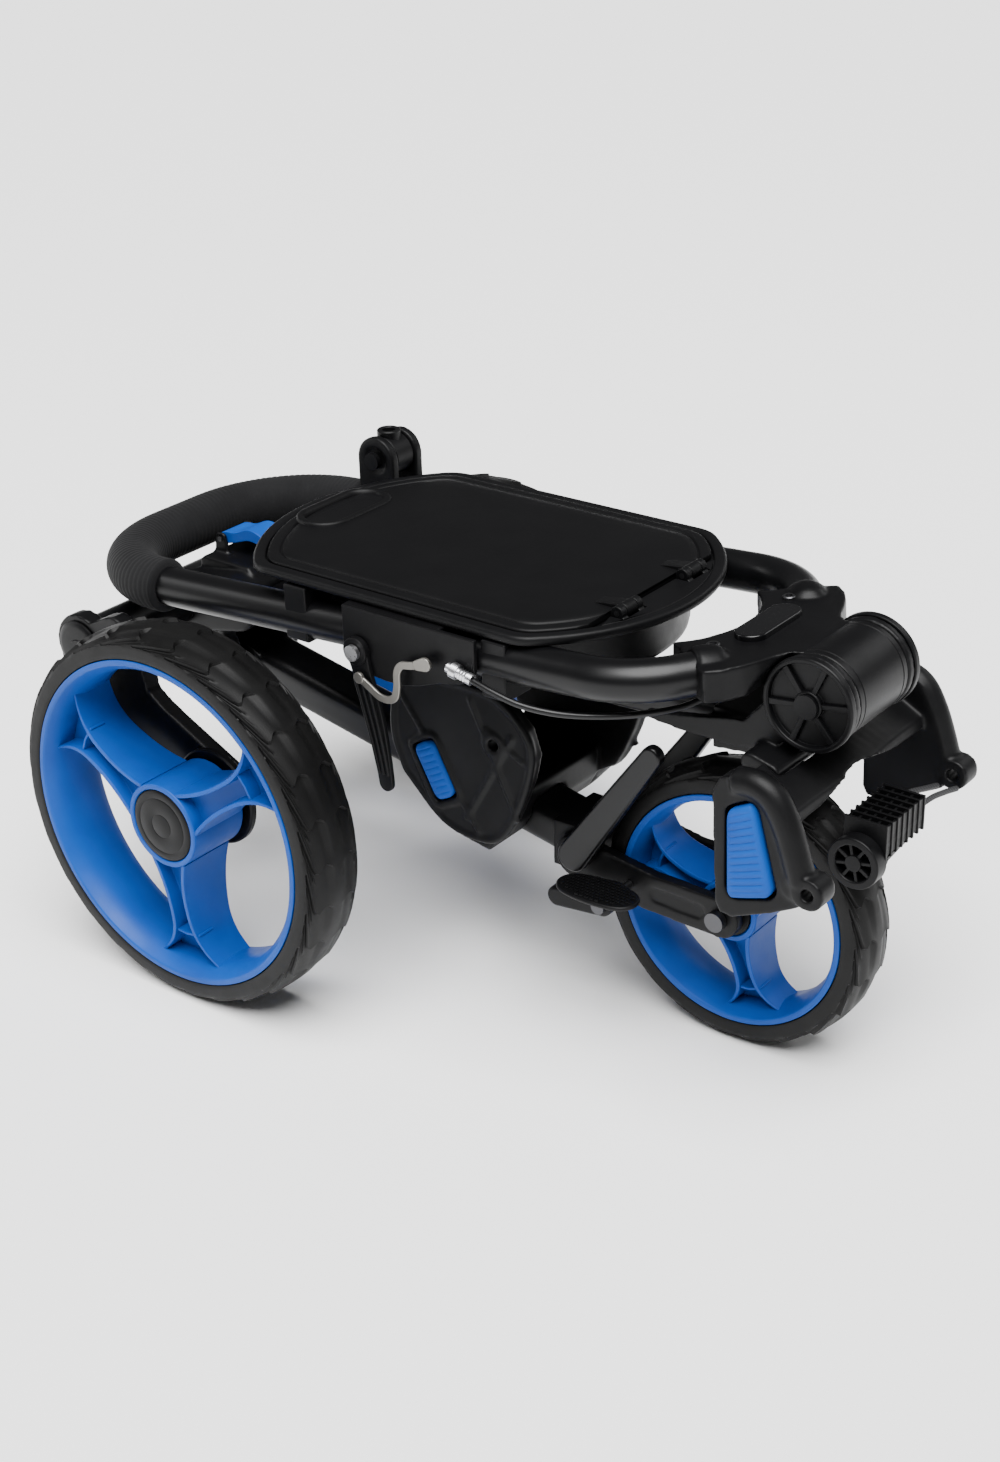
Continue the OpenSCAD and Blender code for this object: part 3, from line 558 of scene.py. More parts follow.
def build_cap(name, node, body, axis_point, r, y_face, side):
    """Domed hub cap with a stepped edge; plain, with two shallow rings in place of a mark."""
    prof = [(0.001, y_face - 0.5), (r * 0.30, y_face - 0.5), (r * 0.33, y_face - 0.8),
            (r * 0.36, y_face - 0.5), (r * 0.74, y_face - 0.7), (r * 0.77, y_face - 1.1),
            (r * 0.80, y_face - 0.8), (r - 1.6, y_face - 1.0), (r - 0.6, y_face - 1.5), (r, y_face - 2.4),
            (r, y_face - 4.5), (0.001, y_face - 4.5)]
    verts, faces = revolve([(a, side * b) for a, b in prof], axis_point, 96, closed=False)
    cap = mesh_piece(name, verts, faces, PLASTIC, body, sharp=38)
    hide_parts(node)


REAR_W, REAR_LIP, REAR_HUB, REAR_PHASE, REAR_BLOCKS = 52.0, 122.0, 31.5, -87, 27
FRONT_W, FRONT_LIP, FRONT_HUB, FRONT_PHASE, FRONT_BLOCKS = 44.0, 84.6, 22.0, -77, 21
CAP_R, CAP_OUT = 27.0, 0.9
rear_sizes = {"well": 11.0, "waist_r": 66.0, "waist": 9.5, "root": 15.0, "flare": 30.0, "web_r": 88.0,
              "web_w": 13.0}
front_sizes = {"well": 9.0, "waist_r": 46.0, "waist": 8.0, "root": 12.0, "flare": 22.0, "web_r": 60.0,
               "web_w": 10.0}
for label, side, joint in (("left", -1, "left_wheel_spin"), ("right", 1, "right_wheel_spin")):
    centre = pivot(joint)
    body = f"rear_wheel_{label}"
    build_tyre(f"{label}_tyre_rubber", f"{label}_tyre", body, centre, REAR_W, REAR_LIP, REAR_BLOCKS)
    build_rim(f"{label}_rim_blue", f"{label}_rim", body, centre, REAR_W, REAR_LIP, REAR_HUB, REAR_PHASE, side,
              rear_sizes)
    build_cap(f"{label}_cap_black", f"{label}_hub_cap", body, centre, CAP_R, REAR_W / 2 + CAP_OUT, side)
front_centre = pivot("front_wheel_spin")
build_tyre("front_tyre_rubber", "front_tyre", "front_wheel", front_centre, FRONT_W, FRONT_LIP, FRONT_BLOCKS)
build_rim("front_rim_blue", "front_rim", "front_wheel", front_centre, FRONT_W, FRONT_LIP, FRONT_HUB,
          FRONT_PHASE, -1, front_sizes)

# ---- handle ring ----

RING_TILT = math.radians(3.55)
RING_Z = 282.2
TUBE_R = 14.0
TUBE_Y = 101.7
BEND_R = 78.0
BEND_X = -223.0
FRONT_BEND_X = 147.0
FRONT_BEND_R = 65.0
FRONT_BEND = 52.0
BARREL = (271, 281)


def to_ring(points):
    """Puts points drawn flat, with z above the tube's centre line, into the handle's sloping plane."""
    p = np.asarray(points, float)
    c, s = math.cos(RING_TILT), math.sin(RING_TILT)
    return np.column_stack((c * p[:, 0] - s * p[:, 2], p[:, 1], RING_Z + s * p[:, 0] + c * p[:, 2]))


def ring_part(part):
    verts, faces = part
    return to_ring(verts), faces


def flat(points, z=0.0):
    p = np.asarray(points, float)
    return np.column_stack((p, np.full(len(p), z)))


def back_bend_path(step=2.0, near_run=0.0, far_run=0.0):
    """Centre line round the rear of the ring, from the left tube to the right one."""
    quarter = BEND_R * math.pi / 2
    n = int(quarter / step)
    corner_y = TUBE_Y - BEND_R
    left = arc(BEND_X, -corner_y, BEND_R, 270, 180, n)
    right = arc(BEND_X, corner_y, BEND_R, 180, 90, n)
    across = [(BEND_X - BEND_R, y) for y in np.arange(-corner_y + step, corner_y - step / 2, step)]
    near = [(BEND_X + x, -TUBE_Y) for x in np.arange(near_run, step / 2, -step)]
    far = [(BEND_X + x, TUBE_Y) for x in np.arange(step, far_run + step / 2, step)]
    return np.array(near + list(left) + across + list(right) + far)


def front_run(side):
    """Centre line from the middle of a straight tube to its tip inside the yoke."""
    bend = arc(FRONT_BEND_X, side * (TUBE_Y - FRONT_BEND_R), FRONT_BEND_R, side * 90,
               side * (90 - FRONT_BEND), 16)
    a = math.radians(FRONT_BEND)
    end = bend[-1] + 22.0 * np.array((math.cos(a), -side * math.sin(a)))
    straight = [(x, side * TUBE_Y) for x in np.linspace(BEND_X + 2, FRONT_BEND_X - 4, 40)]
    return np.array(straight + list(bend) + [end])


def build_handle():
    path = np.vstack((front_run(-1)[::-1], back_bend_path(4.0), front_run(1)))
    tube = mesh_piece("handle_bow", *ring_part(sweep(flat(path), TUBE_R, 40)), PAINT, "handle", sharp=60)
    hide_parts("handle_tube")
    grip_path = back_bend_path(0.75, 6.0, 18.0)
    steps = np.linalg.norm(np.diff(grip_path, axis=0), axis=1)
    run = np.concatenate(([0], np.cumsum(steps)))
    radii = 19.0 + 0.42 * np.abs(np.sin(math.pi * run / 4.2)) ** 0.7
    end = np.minimum(run, run[-1] - run)
    radii -= 3.6 * np.clip(1 - end / 3.0, 0, 1) ** 2
    grip = mesh_piece("grip_foam", *ring_part(sweep(flat(grip_path), radii, 56)), FOAM, "handle")
    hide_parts("foam_grip")


build_handle()


def build_yoke():
    """Crescent casting: two sleeves on the tube tips that sweep together into the barrel."""
    inner = arc(136, 0, 66, -50, 50, 30)
    half = [(187, 54.5), (194, 64)]
    outer = [(222, 83), (231, 75), (238, 64), (243, 53), (247, 42), (252, 34), (262, 29), (262, -29),
             (252, -34), (247, -42), (243, -53), (238, -64), (231, -75), (222, -83), (194, -64), (187, -54.5)]
    body = plate(np.array(list(inner) + half + outer), -11.5, 10.5)
    parts = [ring_part(body)]
    cuts = []
    a = math.radians(FRONT_BEND)
    for side in (-1, 1):
        tip = front_run(side)[-2]
        way = np.array((math.cos(a), -side * math.sin(a)))
        path = [tip + way * t for t in (11.5, 13, 16, 19, 22, 26, 29, 32, 34)]
        parts.append(ring_part(sweep(flat(path), [16.0, 17.0, 17.2, 17.2, 17.0, 16.6, 15.6, 13.4, 10.5], 40)))
        cuts.append(cylinder_y(BARREL, 32.6, *sorted((30.3 * side, 62 * side))))
    cuts.append(cylinder_y(BARREL, 29.2, -40, 40))
    yoke = cast("yoke_casting", parts, CASTING, "handle", voxel=1.15, smooth=9, cut=cuts)
    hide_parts("yoke")
    base = plate(stadium(218, 20, 11, 24), 9.6, 14.4)
    badge = mesh_piece("badge_oval", *ring_part(base), BADGE, "handle")
    soften(badge, 1.3, 4)
    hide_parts("badge_plate")
    parts = []
    for side in (-1, 1):
        head = revolve([(0.001, 0), (4.5, 0), (4.5, 2.4), (3.9, 3.0), (2.4, 3.0), (2.4, 1.4), (0.001, 1.4)],
                       (0, 0, 0), 40, closed=False)
        verts = head[0][:, [0, 2, 1]] + np.array((206, 46 * side, 9.8))
        parts.append((to_ring(verts), head[1]))
    screws = mesh_piece("yoke_screw_heads", *merge(parts), DARK_STEEL, "handle", sharp=35)
    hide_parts("yoke_screws")


build_yoke()


def build_barrel():
    """Hinge barrel: turning shell and ribbed end caps."""
    c = pivot("handle_fold")
    at = (c[0], 0, c[2])
    shell = [(10, -30), (29.2, -30), (29.8, -29.4), (29.9, -25.2), (29.4, -24.8), (29.4, -24.2),
             (29.9, -23.8), (30, 0), (29.9, 23.8), (29.4, 24.2), (29.4, 24.8), (29.9, 25.2), (29.8, 29.4),
             (29.2, 30), (10, 30)]
    piece = mesh_piece("barrel_middle", *revolve(shell, at, 160), CASTING, "handle", sharp=38)
    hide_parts("barrel_shell")
    parts = []
    for side in (-1, 1):
        cup = [(28.2, 38.1), (30.9, 38.1), (31.5, 38.8), (31.5, 42.9), (30.6, 43.9), (28.6, 43.9),
               (27.8, 43.2), (27.4, 39.8), (9.5, 39.6), (9.5, 42.6), (8.8, 43.3), (6.4, 43.3), (6.1, 42.8),
               (6.1, 38.1)]
        parts.append(revolve([(r, side * y) for r, y in cup], at, 160))
        for k in range(6):
            outline = rib((c[0], c[2]), 60 * k + 8, (8.6, 1.5), (27.9, 2.1))
            parts.append(slab(outline, side * 39.4, side * 42.7))
    caps = mesh_piece("barrel_end_caps", *merge(parts), CASTING, "main_frame")
    soften(caps, 0.45, 2, 40)
    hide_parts("barrel_caps")


build_barrel()

# ---- console ----

LEFT_ARC = (-21.0, 150.0)
RIGHT_ARC = (24.0, 138.0)


def console_ring(inset, half_w, fillet=26.0, stop_x=None):
    """Plan outline drawn in by inset: two end arcs and two straight sides with rounded corners."""
    (lx, lr), (rx, rr) = (LEFT_ARC[0], LEFT_ARC[1] - inset), (RIGHT_ARC[0], RIGHT_ARC[1] - inset)
    f = min(fillet, half_w * 0.9, lr * 0.8, rr * 0.8)
    n = 14
    out = []
    for cx, r, sign in ((rx, rr, 1), (lx, lr, -1)):
        w = min(half_w - f, (r - f) * 0.98)
        reach = math.sqrt((r - f) ** 2 - w**2)
        alpha = math.degrees(math.asin(w / (r - f)))
        fx = cx + sign * reach
        if sign > 0:
            out += list(arc(fx, -w, f, -90, -alpha, n))[:-1]
            out += list(arc(cx, 0, r, -alpha, alpha, 2 * n))
            out += list(arc(fx, w, f, alpha, 90, n))[1:]
        else:
            out += list(arc(fx, w, f, 90, 180 - alpha, n))[:-1]
            out += list(arc(cx, 0, r, 180 - alpha, 180 + alpha, 2 * n))
            out += list(arc(fx, -w, f, 180 + alpha, 270, n))[1:]
    out = np.array(out)
    if stop_x is not None:
        out[:, 0] = np.minimum(out[:, 0], stop_x)
    return out


def console_loft(stations, stop_x=None):
    """Closed shell through plan outlines; a station is inset, half width, z and, if given, fillet."""
    rings = []
    for inset, half_w, z, *fillet in stations:
        ring = console_ring(inset, half_w, fillet[0] if fillet else 26.0, stop_x=stop_x)
        rings.append(flat(ring, z))
    return loft(rings)


def build_console():
    tray = [(118, 12, 264.3), (60, 48, 264.2), (31, 77, 264.2), (27.4, 80.6, 265), (25, 83, 267.4),
            (24.2, 83.8, 271), (24, 84, 300.5), (23.4, 84.6, 302.6), (21.5, 87, 303.6), (2.2, 110.8, 304.0),
            (0.6, 112.4, 304.4), (0.05, 112.95, 305.4), (0.1, 112.9, 308.4), (0.9, 112.1, 309.9),
            (2.2, 110.8, 310.5), (7.0, 106, 310.6), (8.2, 104.8, 310.1), (8.8, 104.2, 309.2),
            (8.9, 104.1, 306.8), (26.0, 82.0, 306.6), (27.0, 81.0, 305.6), (27.0, 81.0, 270),
            (28.4, 79.6, 268), (31, 77, 267.2), (60, 48, 267.2), (118, 12, 267.2)]
    piece = mesh_piece("console_bin", *console_loft(tray), PLASTIC, "handle", sharp=50)
    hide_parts("console_tray")
    hinge = pivot("lid_hinge")
    parts = []
    for side in (-1, 1):
        for lug in (-1, 1):
            y = side * 38 + lug * 9
            outline = list(arc(hinge[0], hinge[2], 4.9, -20, 200, 16))
            outline += [(hinge[0] - 5.4, 306.4), (hinge[0] + 8.5, 306.4), (hinge[0] + 7.5, 308.6)]
            parts.append(slab(outline, y - 2.9, y + 2.9))
    shelf = [tuple(p) for p in console_ring(8.4, 104.6) if p[0] > 131]
    notch = [(131, 51.4), (141.6, 51.4), (141.6, 24.6), (131, 24.6), (131, -24.6), (141.6, -24.6),
             (141.6, -51.4), (131, -51.4)]
    parts.append(plate(shelf + notch, 306.4, 310.3))
    lugs = mesh_piece("lid_hinge_lugs", *merge(parts), PLASTIC, "handle")
    soften(lugs, 0.8, 3)
    lid = [(120, 12, 308.8), (60, 53, 308.7), (27, 86, 308.4), (12, 101, 307.7), (10.4, 102.6, 308.0),
           (10.0, 103, 308.8), (10.0, 103, 310.2), (10.6, 102.4, 311.0), (12.0, 101, 311.4),
           (17.6, 95.4, 311.6), (18.3, 94.7, 311.2), (18.8, 94.2, 310.4), (19.6, 93.4, 310.4),
           (20.1, 92.9, 311.3), (21.0, 92, 311.9), (25.5, 87.5, 312.4), (36, 77, 312.7), (64, 49, 313.0),
           (90, 28, 313.1), (120, 12, 313.1)]
    cover = mesh_piece("console_cover", *console_loft(lid, stop_x=128.6), LID, "lid", sharp=42)
    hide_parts("console_lid")
    parts = []
    for side in (-1, 1):
        y = side * 38
        outline = list(arc(hinge[0], hinge[2], 4.9, -90, 130, 18))
        outline += [(120, 314.6), (113, 313.2), (113, 311.4), (122, 308.2)]
        parts.append(slab(outline, y - 5.6, y + 5.6))
    knuckles = mesh_piece("cover_knuckles", *merge(parts), LID, "lid")
    soften(knuckles, 1.0, 3)
    rings = []
    for r, z in ((21.5, 311.0), (21.0, 313.6), (20.0, 314.7), (18.0, 315.0), (16.4, 314.6), (15.2, 313.4),
                 (14.2, 310.6), (14.2, 308.6), (21.5, 308.6)):
        rings.append(flat(stadium(-136, 20, r, 24), z))
    surround = np.concatenate(rings), grid_faces(len(rings), len(rings[0]), wrap_rows=True, wrap_cols=True)
    frame_piece = mesh_piece("latch_surround", *surround, LID, "lid", sharp=40)
    tongue = mesh_piece("latch_tongue", *plate(stadium(-136, 17, 7.5, 16), 307.9, 312.6), PLASTIC, "latch")
    soften(tongue, 1.2, 4)
    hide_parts("lid_latch")


build_console()

# ---- main frame ----


def beam(a, b, width, height, corner, n=6):
    """Tube with rounded corners between two points in X and Z."""
    a, b = np.array(a, float), np.array(b, float)
    way = (b - a) / np.linalg.norm(b - a)
    up = np.array((-way[1], way[0]))
    w, h = width / 2 - corner, height / 2 - corner
    corners = ((w, h), (-w, h), (-w, -h), (w, -h))
    ring = np.concatenate([arc(*c, corner, 90 * k, 90 * k + 90, n) for k, c in enumerate(corners)])
    stations = []
    for point, shrink in ((a, 0.88), (a + way * 1.6, 1.0), (b - way * 1.6, 1.0), (b, 0.88)):
        stations.append([(point[0] + up[0] * q * shrink, p * shrink, point[1] + up[1] * q * shrink)
                         for p, q in ring])
    return loft(stations)


def both(outline, y0, y1):
    return [slab(outline, y0, y1), slab(outline, -y1, -y0)]


SPINE = ((-204, 229), (214, 243))
ARM = ((-222, 173), (84, 112))


def build_spine():
    spine = mesh_piece("spine_tube", *beam(*SPINE, 38, 26, 8), PAINT, "main_frame", sharp=50)
    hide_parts("spine_beam")
    at = pivot_xz("handle_fold")
    leaf = [(228, 256.5), (212, 255), (190, 250), (168, 246), (150, 243.6), (147, 240.6), (152, 238),
            (176, 236), (205, 235.5), (228, 237)]
    parts = both(circle(*at, 30.6, 64), 30.9, 37.6)
    parts += both(link(at, 20, (228, 247), 10), 30.9, 37.6) + both(leaf, 30.9, 37.6)
    parts.append(slab([(196, 227), (236, 231), (240, 246), (226, 257), (196, 257)], -31, 31))
    parts.append(slab(link((240, 240), 6.4, (255, 236), 6.4), -59, 59))
    cuts = [cylinder_y(at, 31.9, -30.3, 30.3, 96), cylinder_y(at, 10.4, -50, 50)]
    head = cast("spine_head_casting", parts, CASTING, "main_frame", voxel=1.1, smooth=5, cut=cuts)
    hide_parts("spine_head")


build_spine()


def ribbed_pad(corners, y_back, y_face, ribs):
    """Rubber pad seen along Y: rounded four-sided plate, crowned, with shallow ribs across it.
    Corners run low left, low right, top right, top left in X and Z; y_face is the outer side."""
    low_l, low_r, top_r, top_l = (np.array(c, float) for c in corners)
    cols, rows = 30, ribs * 12
    sign = 1 if y_face > y_back else -1
    height = np.linalg.norm(top_l - low_l)
    half_w = np.linalg.norm(low_r - low_l) / 2
    front, rear = [], []
    for j in range(rows + 1):
        v = -1 + 2 * j / rows
        over = max(abs(v) * height / 2 - (height / 2 - 7), 0)
        reach = 1 - (7 - math.sqrt(max(49 - over**2, 0))) / half_w
        for i in range(cols + 1):
            u = (-1 + 2 * i / cols) * reach
            p = ((1 - u) * (1 - v) * low_l + (1 + u) * (1 - v) * low_r + (1 + u) * (1 + v) * top_r
                 + (1 - u) * (1 + v) * top_l) / 4
            edge = min((reach - abs(u)) * half_w, (1 - abs(v)) * height / 2)
            crown = -2.6 * math.exp(-edge / 1.2) - 0.9 * u * u
            inside = min(max((0.88 - abs(v)) / 0.06, 0), 1) * min(max((0.80 - abs(u)) / 0.12, 0), 1)
            crown += inside * (0.9 * abs(math.sin(math.pi * ribs * (v + 1) / 2)) ** 0.6 - 0.6)
            front.append((p[0], y_face + sign * (crown - 0.3), p[1]))
            rear.append((p[0], y_back, p[1]))
    size = (rows + 1) * (cols + 1)
    faces = grid_faces(rows + 1, cols + 1, wrap_cols=False)
    faces += grid_faces(rows + 1, cols + 1, wrap_cols=False, start=size)
    rim = list(range(cols + 1)) + [j * (cols + 1) + cols for j in range(1, rows + 1)]
    rim += [rows * (cols + 1) + i for i in range(cols - 1, -1, -1)]
    rim += [j * (cols + 1) for j in range(rows - 1, 0, -1)]
    faces += [[a, rim[(k + 1) % len(rim)], size + rim[(k + 1) % len(rim)], size + a]
              for k, a in enumerate(rim)]
    return np.array(front + rear), faces


def build_upper_bracket():
    """Bag cradle: a bowed cross plate and two closed arms with rounded bars, pad seats and eyes."""
    eye = (309, 189)
    panel = [(240, 239), (245.5, 249.5), (256, 254.5), (271, 255), (284, 247.5), (294.5, 229), (300.5, 211),
             (305, 196), (302, 177), (283.5, 167), (256, 155), (247, 156), (243.5, 162)]
    seat = rounded([(250.6, 166.6), (288.4, 178.2), (271.0, 242.6), (249.6, 230.9)], 7.5)
    bar = [(254, 248), (268, 249), (280, 243), (289, 228.5), (296, 210.5), (301.5, 193)]
    edge = [(246, 246), (244.5, 215), (246.2, 172), (250.5, 158.5), (262, 161.5), (284, 171), (300, 180)]
    parts, cuts = [], []
    for side in (-1, 1):
        y0, y1 = sorted((side * 86.6, side * 101.5))
        mid = side * 95.6
        parts.append(slab(panel, y0, y1))
        parts.append(sweep(catmull([(x, mid, z) for x, z in bar], 8), 9.2, 28))
        parts.append(sweep(catmull([(x, mid, z) for x, z in edge], 8), 4.6, 20))
        parts.append(slab(circle(*eye, 10.7, 40), side * 95 - 8.8, side * 95 + 8.8))
        parts.append(slab(link((298, 190), 7.5, eye, 9.5), side * 95 - 7.5, side * 95 + 7.5))
        outer = sorted((side * 88.8, side * 112))
        cuts.append(slab(seat, *outer))
        cuts.append(cylinder_y(eye, 4.2, side * 95 - 14, side * 95 + 14, 32))
    plate_pts = []
    for k in range(25):
        y = -87 + 174 * k / 24
        dip = 17 * math.exp(-(y / 34) ** 2)
        plate_pts.append([(251, y, 245.2 - 0.3 * dip), (285, y, 226), (287, y, 218.5 + 0.55 * dip),
                          (283, y, 217.5 + 0.5 * dip), (250, y, 235.5)])
    parts.append(loft(plate_pts))
    cuts.append(slab(link((238, 240), 7.3, (256, 236), 7.3), -60.3, 60.3))
    bracket = cast("upper_cradle", parts, PLASTIC, "main_frame", voxel=1.15, smooth=5, cut=cuts)
    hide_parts("upper_bracket")
    corners = [(252.6, 168.6), (285.8, 179.2), (270.2, 239.6), (251.6, 229.8)]
    pads = [ribbed_pad(corners, side * 89.2, side * 105.4, 13) for side in (-1, 1)]
    pad = mesh_piece("upper_cradle_pads", *merge(pads), BLUE_SOFT, "main_frame")
    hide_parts("upper_pads")


build_upper_bracket()


def build_clip():
    """Hook plate: a waffle-ribbed block and a ribbed cup, hung on the elastic cord."""
    x0, x1, y0, y1, z1 = 289, 320, -24, 28, node_box("strap_clip")[1][2]
    z0 = z1 - 26
    parts = [block(x0 + 2, x1 - 1, y0 + 1, y1 - 1, z0 + 9, z0 + 13)]
    for y in np.linspace(y0 + 1.2, y1 - 1.2, 8):
        parts.append(block(x0 + 0.5, x1 - 0.3, y - 1, y + 1, z0 + 1, z1 - 0.6))
    for x in np.linspace(x0 + 2, x1 - 2, 5):
        parts.append(block(x - 0.9, x + 0.9, y0 + 0.6, y1 - 0.6, z0 + 3, z1 - 2))
    waffle = mesh_piece("hook_block", *merge(parts), PLASTIC, "main_frame")
    soften(waffle, 0.4, 2)
    c = (x0 + 15, z0 - 2.0)
    rings = []
    for y, r in ((-19.6, 7.5), (-20, 8.5), (-19.4, 12.2), (-18.4, 12.8), (-14, 12.8), (-13, 11.6), (4, 10.4),
                 (12, 9.8), (19.4, 9.6), (19.8, 8.8)):
        ring = []
        for k in range(96):
            a = 2 * math.pi * k / 96
            q = r - (0.9 if -18 < y < 12 and k % 12 < 4 else 0.0)
            ring.append((c[0] + q * math.cos(a), y, c[1] + q * math.sin(a)))
        rings.append(ring)
    boss = mesh_piece("hook_cup", *loft(rings), PLASTIC, "main_frame", sharp=30)
    disc = (302, 176)
    ring = [(12.6, -33.0), (13.4, -33.8), (17.2, -33.8), (17.9, -33.0), (17.9, -22.2), (17.2, -21.4),
            (13.4, -21.4), (12.6, -22.2)]
    parts = [revolve(ring, (disc[0], 0, disc[1]), 96)]
    parts.append(slab(circle(*disc, 5.6, 40), -33.4, -21.4))
    parts.append(slab(circle(*disc, 13.4, 60), -27.0, -23.0))
    for k in range(8):
        parts.append(slab(rib(disc, 45 * k + 12, (4.5, 1.1), (13.6, 1.1)), -32.6, -23.2))
    wheel = mesh_piece("hook_spoked_disc", *merge(parts), PLASTIC, "main_frame")
    soften(wheel, 0.35, 2)
    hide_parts("strap_clip")
    back = [(300, 84, 180), (299, 66, 185), (298, 48, 190), (297, 25, 193)]
    front = [(314, 84, 182), (314, 66, 187), (314, 48, 191), (314, 25, 193)]
    parts = [sweep(catmull(line, 14), 1.95, 20) for line in (back, front)]
    cord = mesh_piece("cradle_elastic", *merge(parts), CORD, "main_frame")
    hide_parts("bungee_cord")


build_clip()


def build_hinge():
    """Fold joint at the grip end, the legs' cross tube, and the blue catch."""
    leg, mid, catch = pivot_xz("legs_fold"), pivot_xz("arm_fold"), pivot_xz("release_press")
    roof = [(-262, 238), (-207, 238), (-207, 252), (-214, 257.3), (-259, 257.3), (-262, 254)]
    parts = [slab(link(leg, 23.3, (-217, 232), 21.4, 20), -41, 41), slab(roof, -25.5, 25.5)]
    parts += both(link(mid, 19.4, (-262, 222), 19.4, 20), 23.6, 35.6)
    for y in (-12.6, 16.8):
        parts.append(slab(link(catch, 5.6, (-252, 254), 7.5), y, y + 2.9))
    mouth = [(-200, 214), (-150, 214), (-150, 250), (-200, 250)]
    cuts = [cylinder_y(mid, 24.4, -23, 23, 64), slab(mouth, -22, 22)]
    housing = cast("fold_housing", parts, CASTING, "main_frame", voxel=1.25, smooth=5, cut=cuts)
    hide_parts("hinge_housing")
    tubes = turned_ends([(12.1, 42.4), (16.3, 42.4), (17, 43.2), (17, 126.8), (16.3, 127.6), (12.1, 127.6)],
                        leg, 72)
    sleeves = mesh_piece("leg_cross_tubes", *merge(tubes), PAINT, "rear_legs", sharp=35)
    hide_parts("leg_sleeves")
    ends = turned_ends([(0.001, 146.0), (6.0, 146.0), (6.6, 145.2), (15.5, 145.2), (18.6, 144.6),
                        (19.9, 143.4), (19.9, 142.6), (11.9, 142.5), (11.9, 60), (0.001, 60)], leg, 72,
                       closed=False)
    shaft = mesh_piece("leg_shaft_ends", *merge(ends), CASTING, "main_frame", sharp=35)
    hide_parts("leg_shaft")
    top = catmull([(-256.5, 270), (-251, 273), (-240, 274.3), (-228, 279), (-218, 278), (-205, 271.5)], 6)
    low = catmull([(-205, 268), (-216, 269), (-227, 270), (-240, 266), (-252, 263.3), (-256.6, 266)], 6)
    lever = mesh_piece("catch_blue", *slab(np.vstack((top, low)), -8.6, 15.6), BLUE, "release")
    soften(lever, 1.4, 3)
    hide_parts("release_lever")


build_hinge()


def build_legs():
    leg = pivot_xz("legs_fold")
    knee = (-205, 178)
    for name, side in (("left", -1), ("right", 1)):
        axle = pivot_xz(f"{name}_wheel_spin")
        y0, y1 = sorted((side * 128.3, side * 141.7))
        heel = [(-295, 206), (-294.5, 219), (-290, 227.5), (-246, 250.5), (-236, 253.5), (-222, 248),
                (-216, 240), (-204, 190)]
        outlines = link(leg, 24.2, knee, 18.4, 24), link(knee, 18.4, axle, 24.3, 24), heel
        parts = [slab(outline, y0, y1) for outline in outlines]
        groove = side * 128.3
        cut = [cylinder_y(leg, 12.2, y0 - 4, y1 + 4, 64)]
        for outline in (link((-250, 207), 9, knee, 8), link(knee, 8, (-164, 154), 8)):
            cut.append(slab(outline, groove - 2.4, groove + 2.4))
        plate_piece = cast(f"{name}_leg_plate", parts, CASTING, "rear_legs", voxel=1.2, smooth=4, cut=cut)
        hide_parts(f"{name}_leg")
    drums = turned_ends([(4.1, 142.1), (35.2, 142.1), (36, 142.9), (36, 146.6), (34.6, 147.9), (24, 147.9),
                         (22, 146.4), (12, 146.4), (10, 147.9), (4.1, 147.9)], axle, 96)
    drum = mesh_piece("brake_drum_covers", *merge(drums), CASTING, "rear_legs", sharp=35)
    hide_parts("brake_drums")


build_legs()

# ---- front arm ----


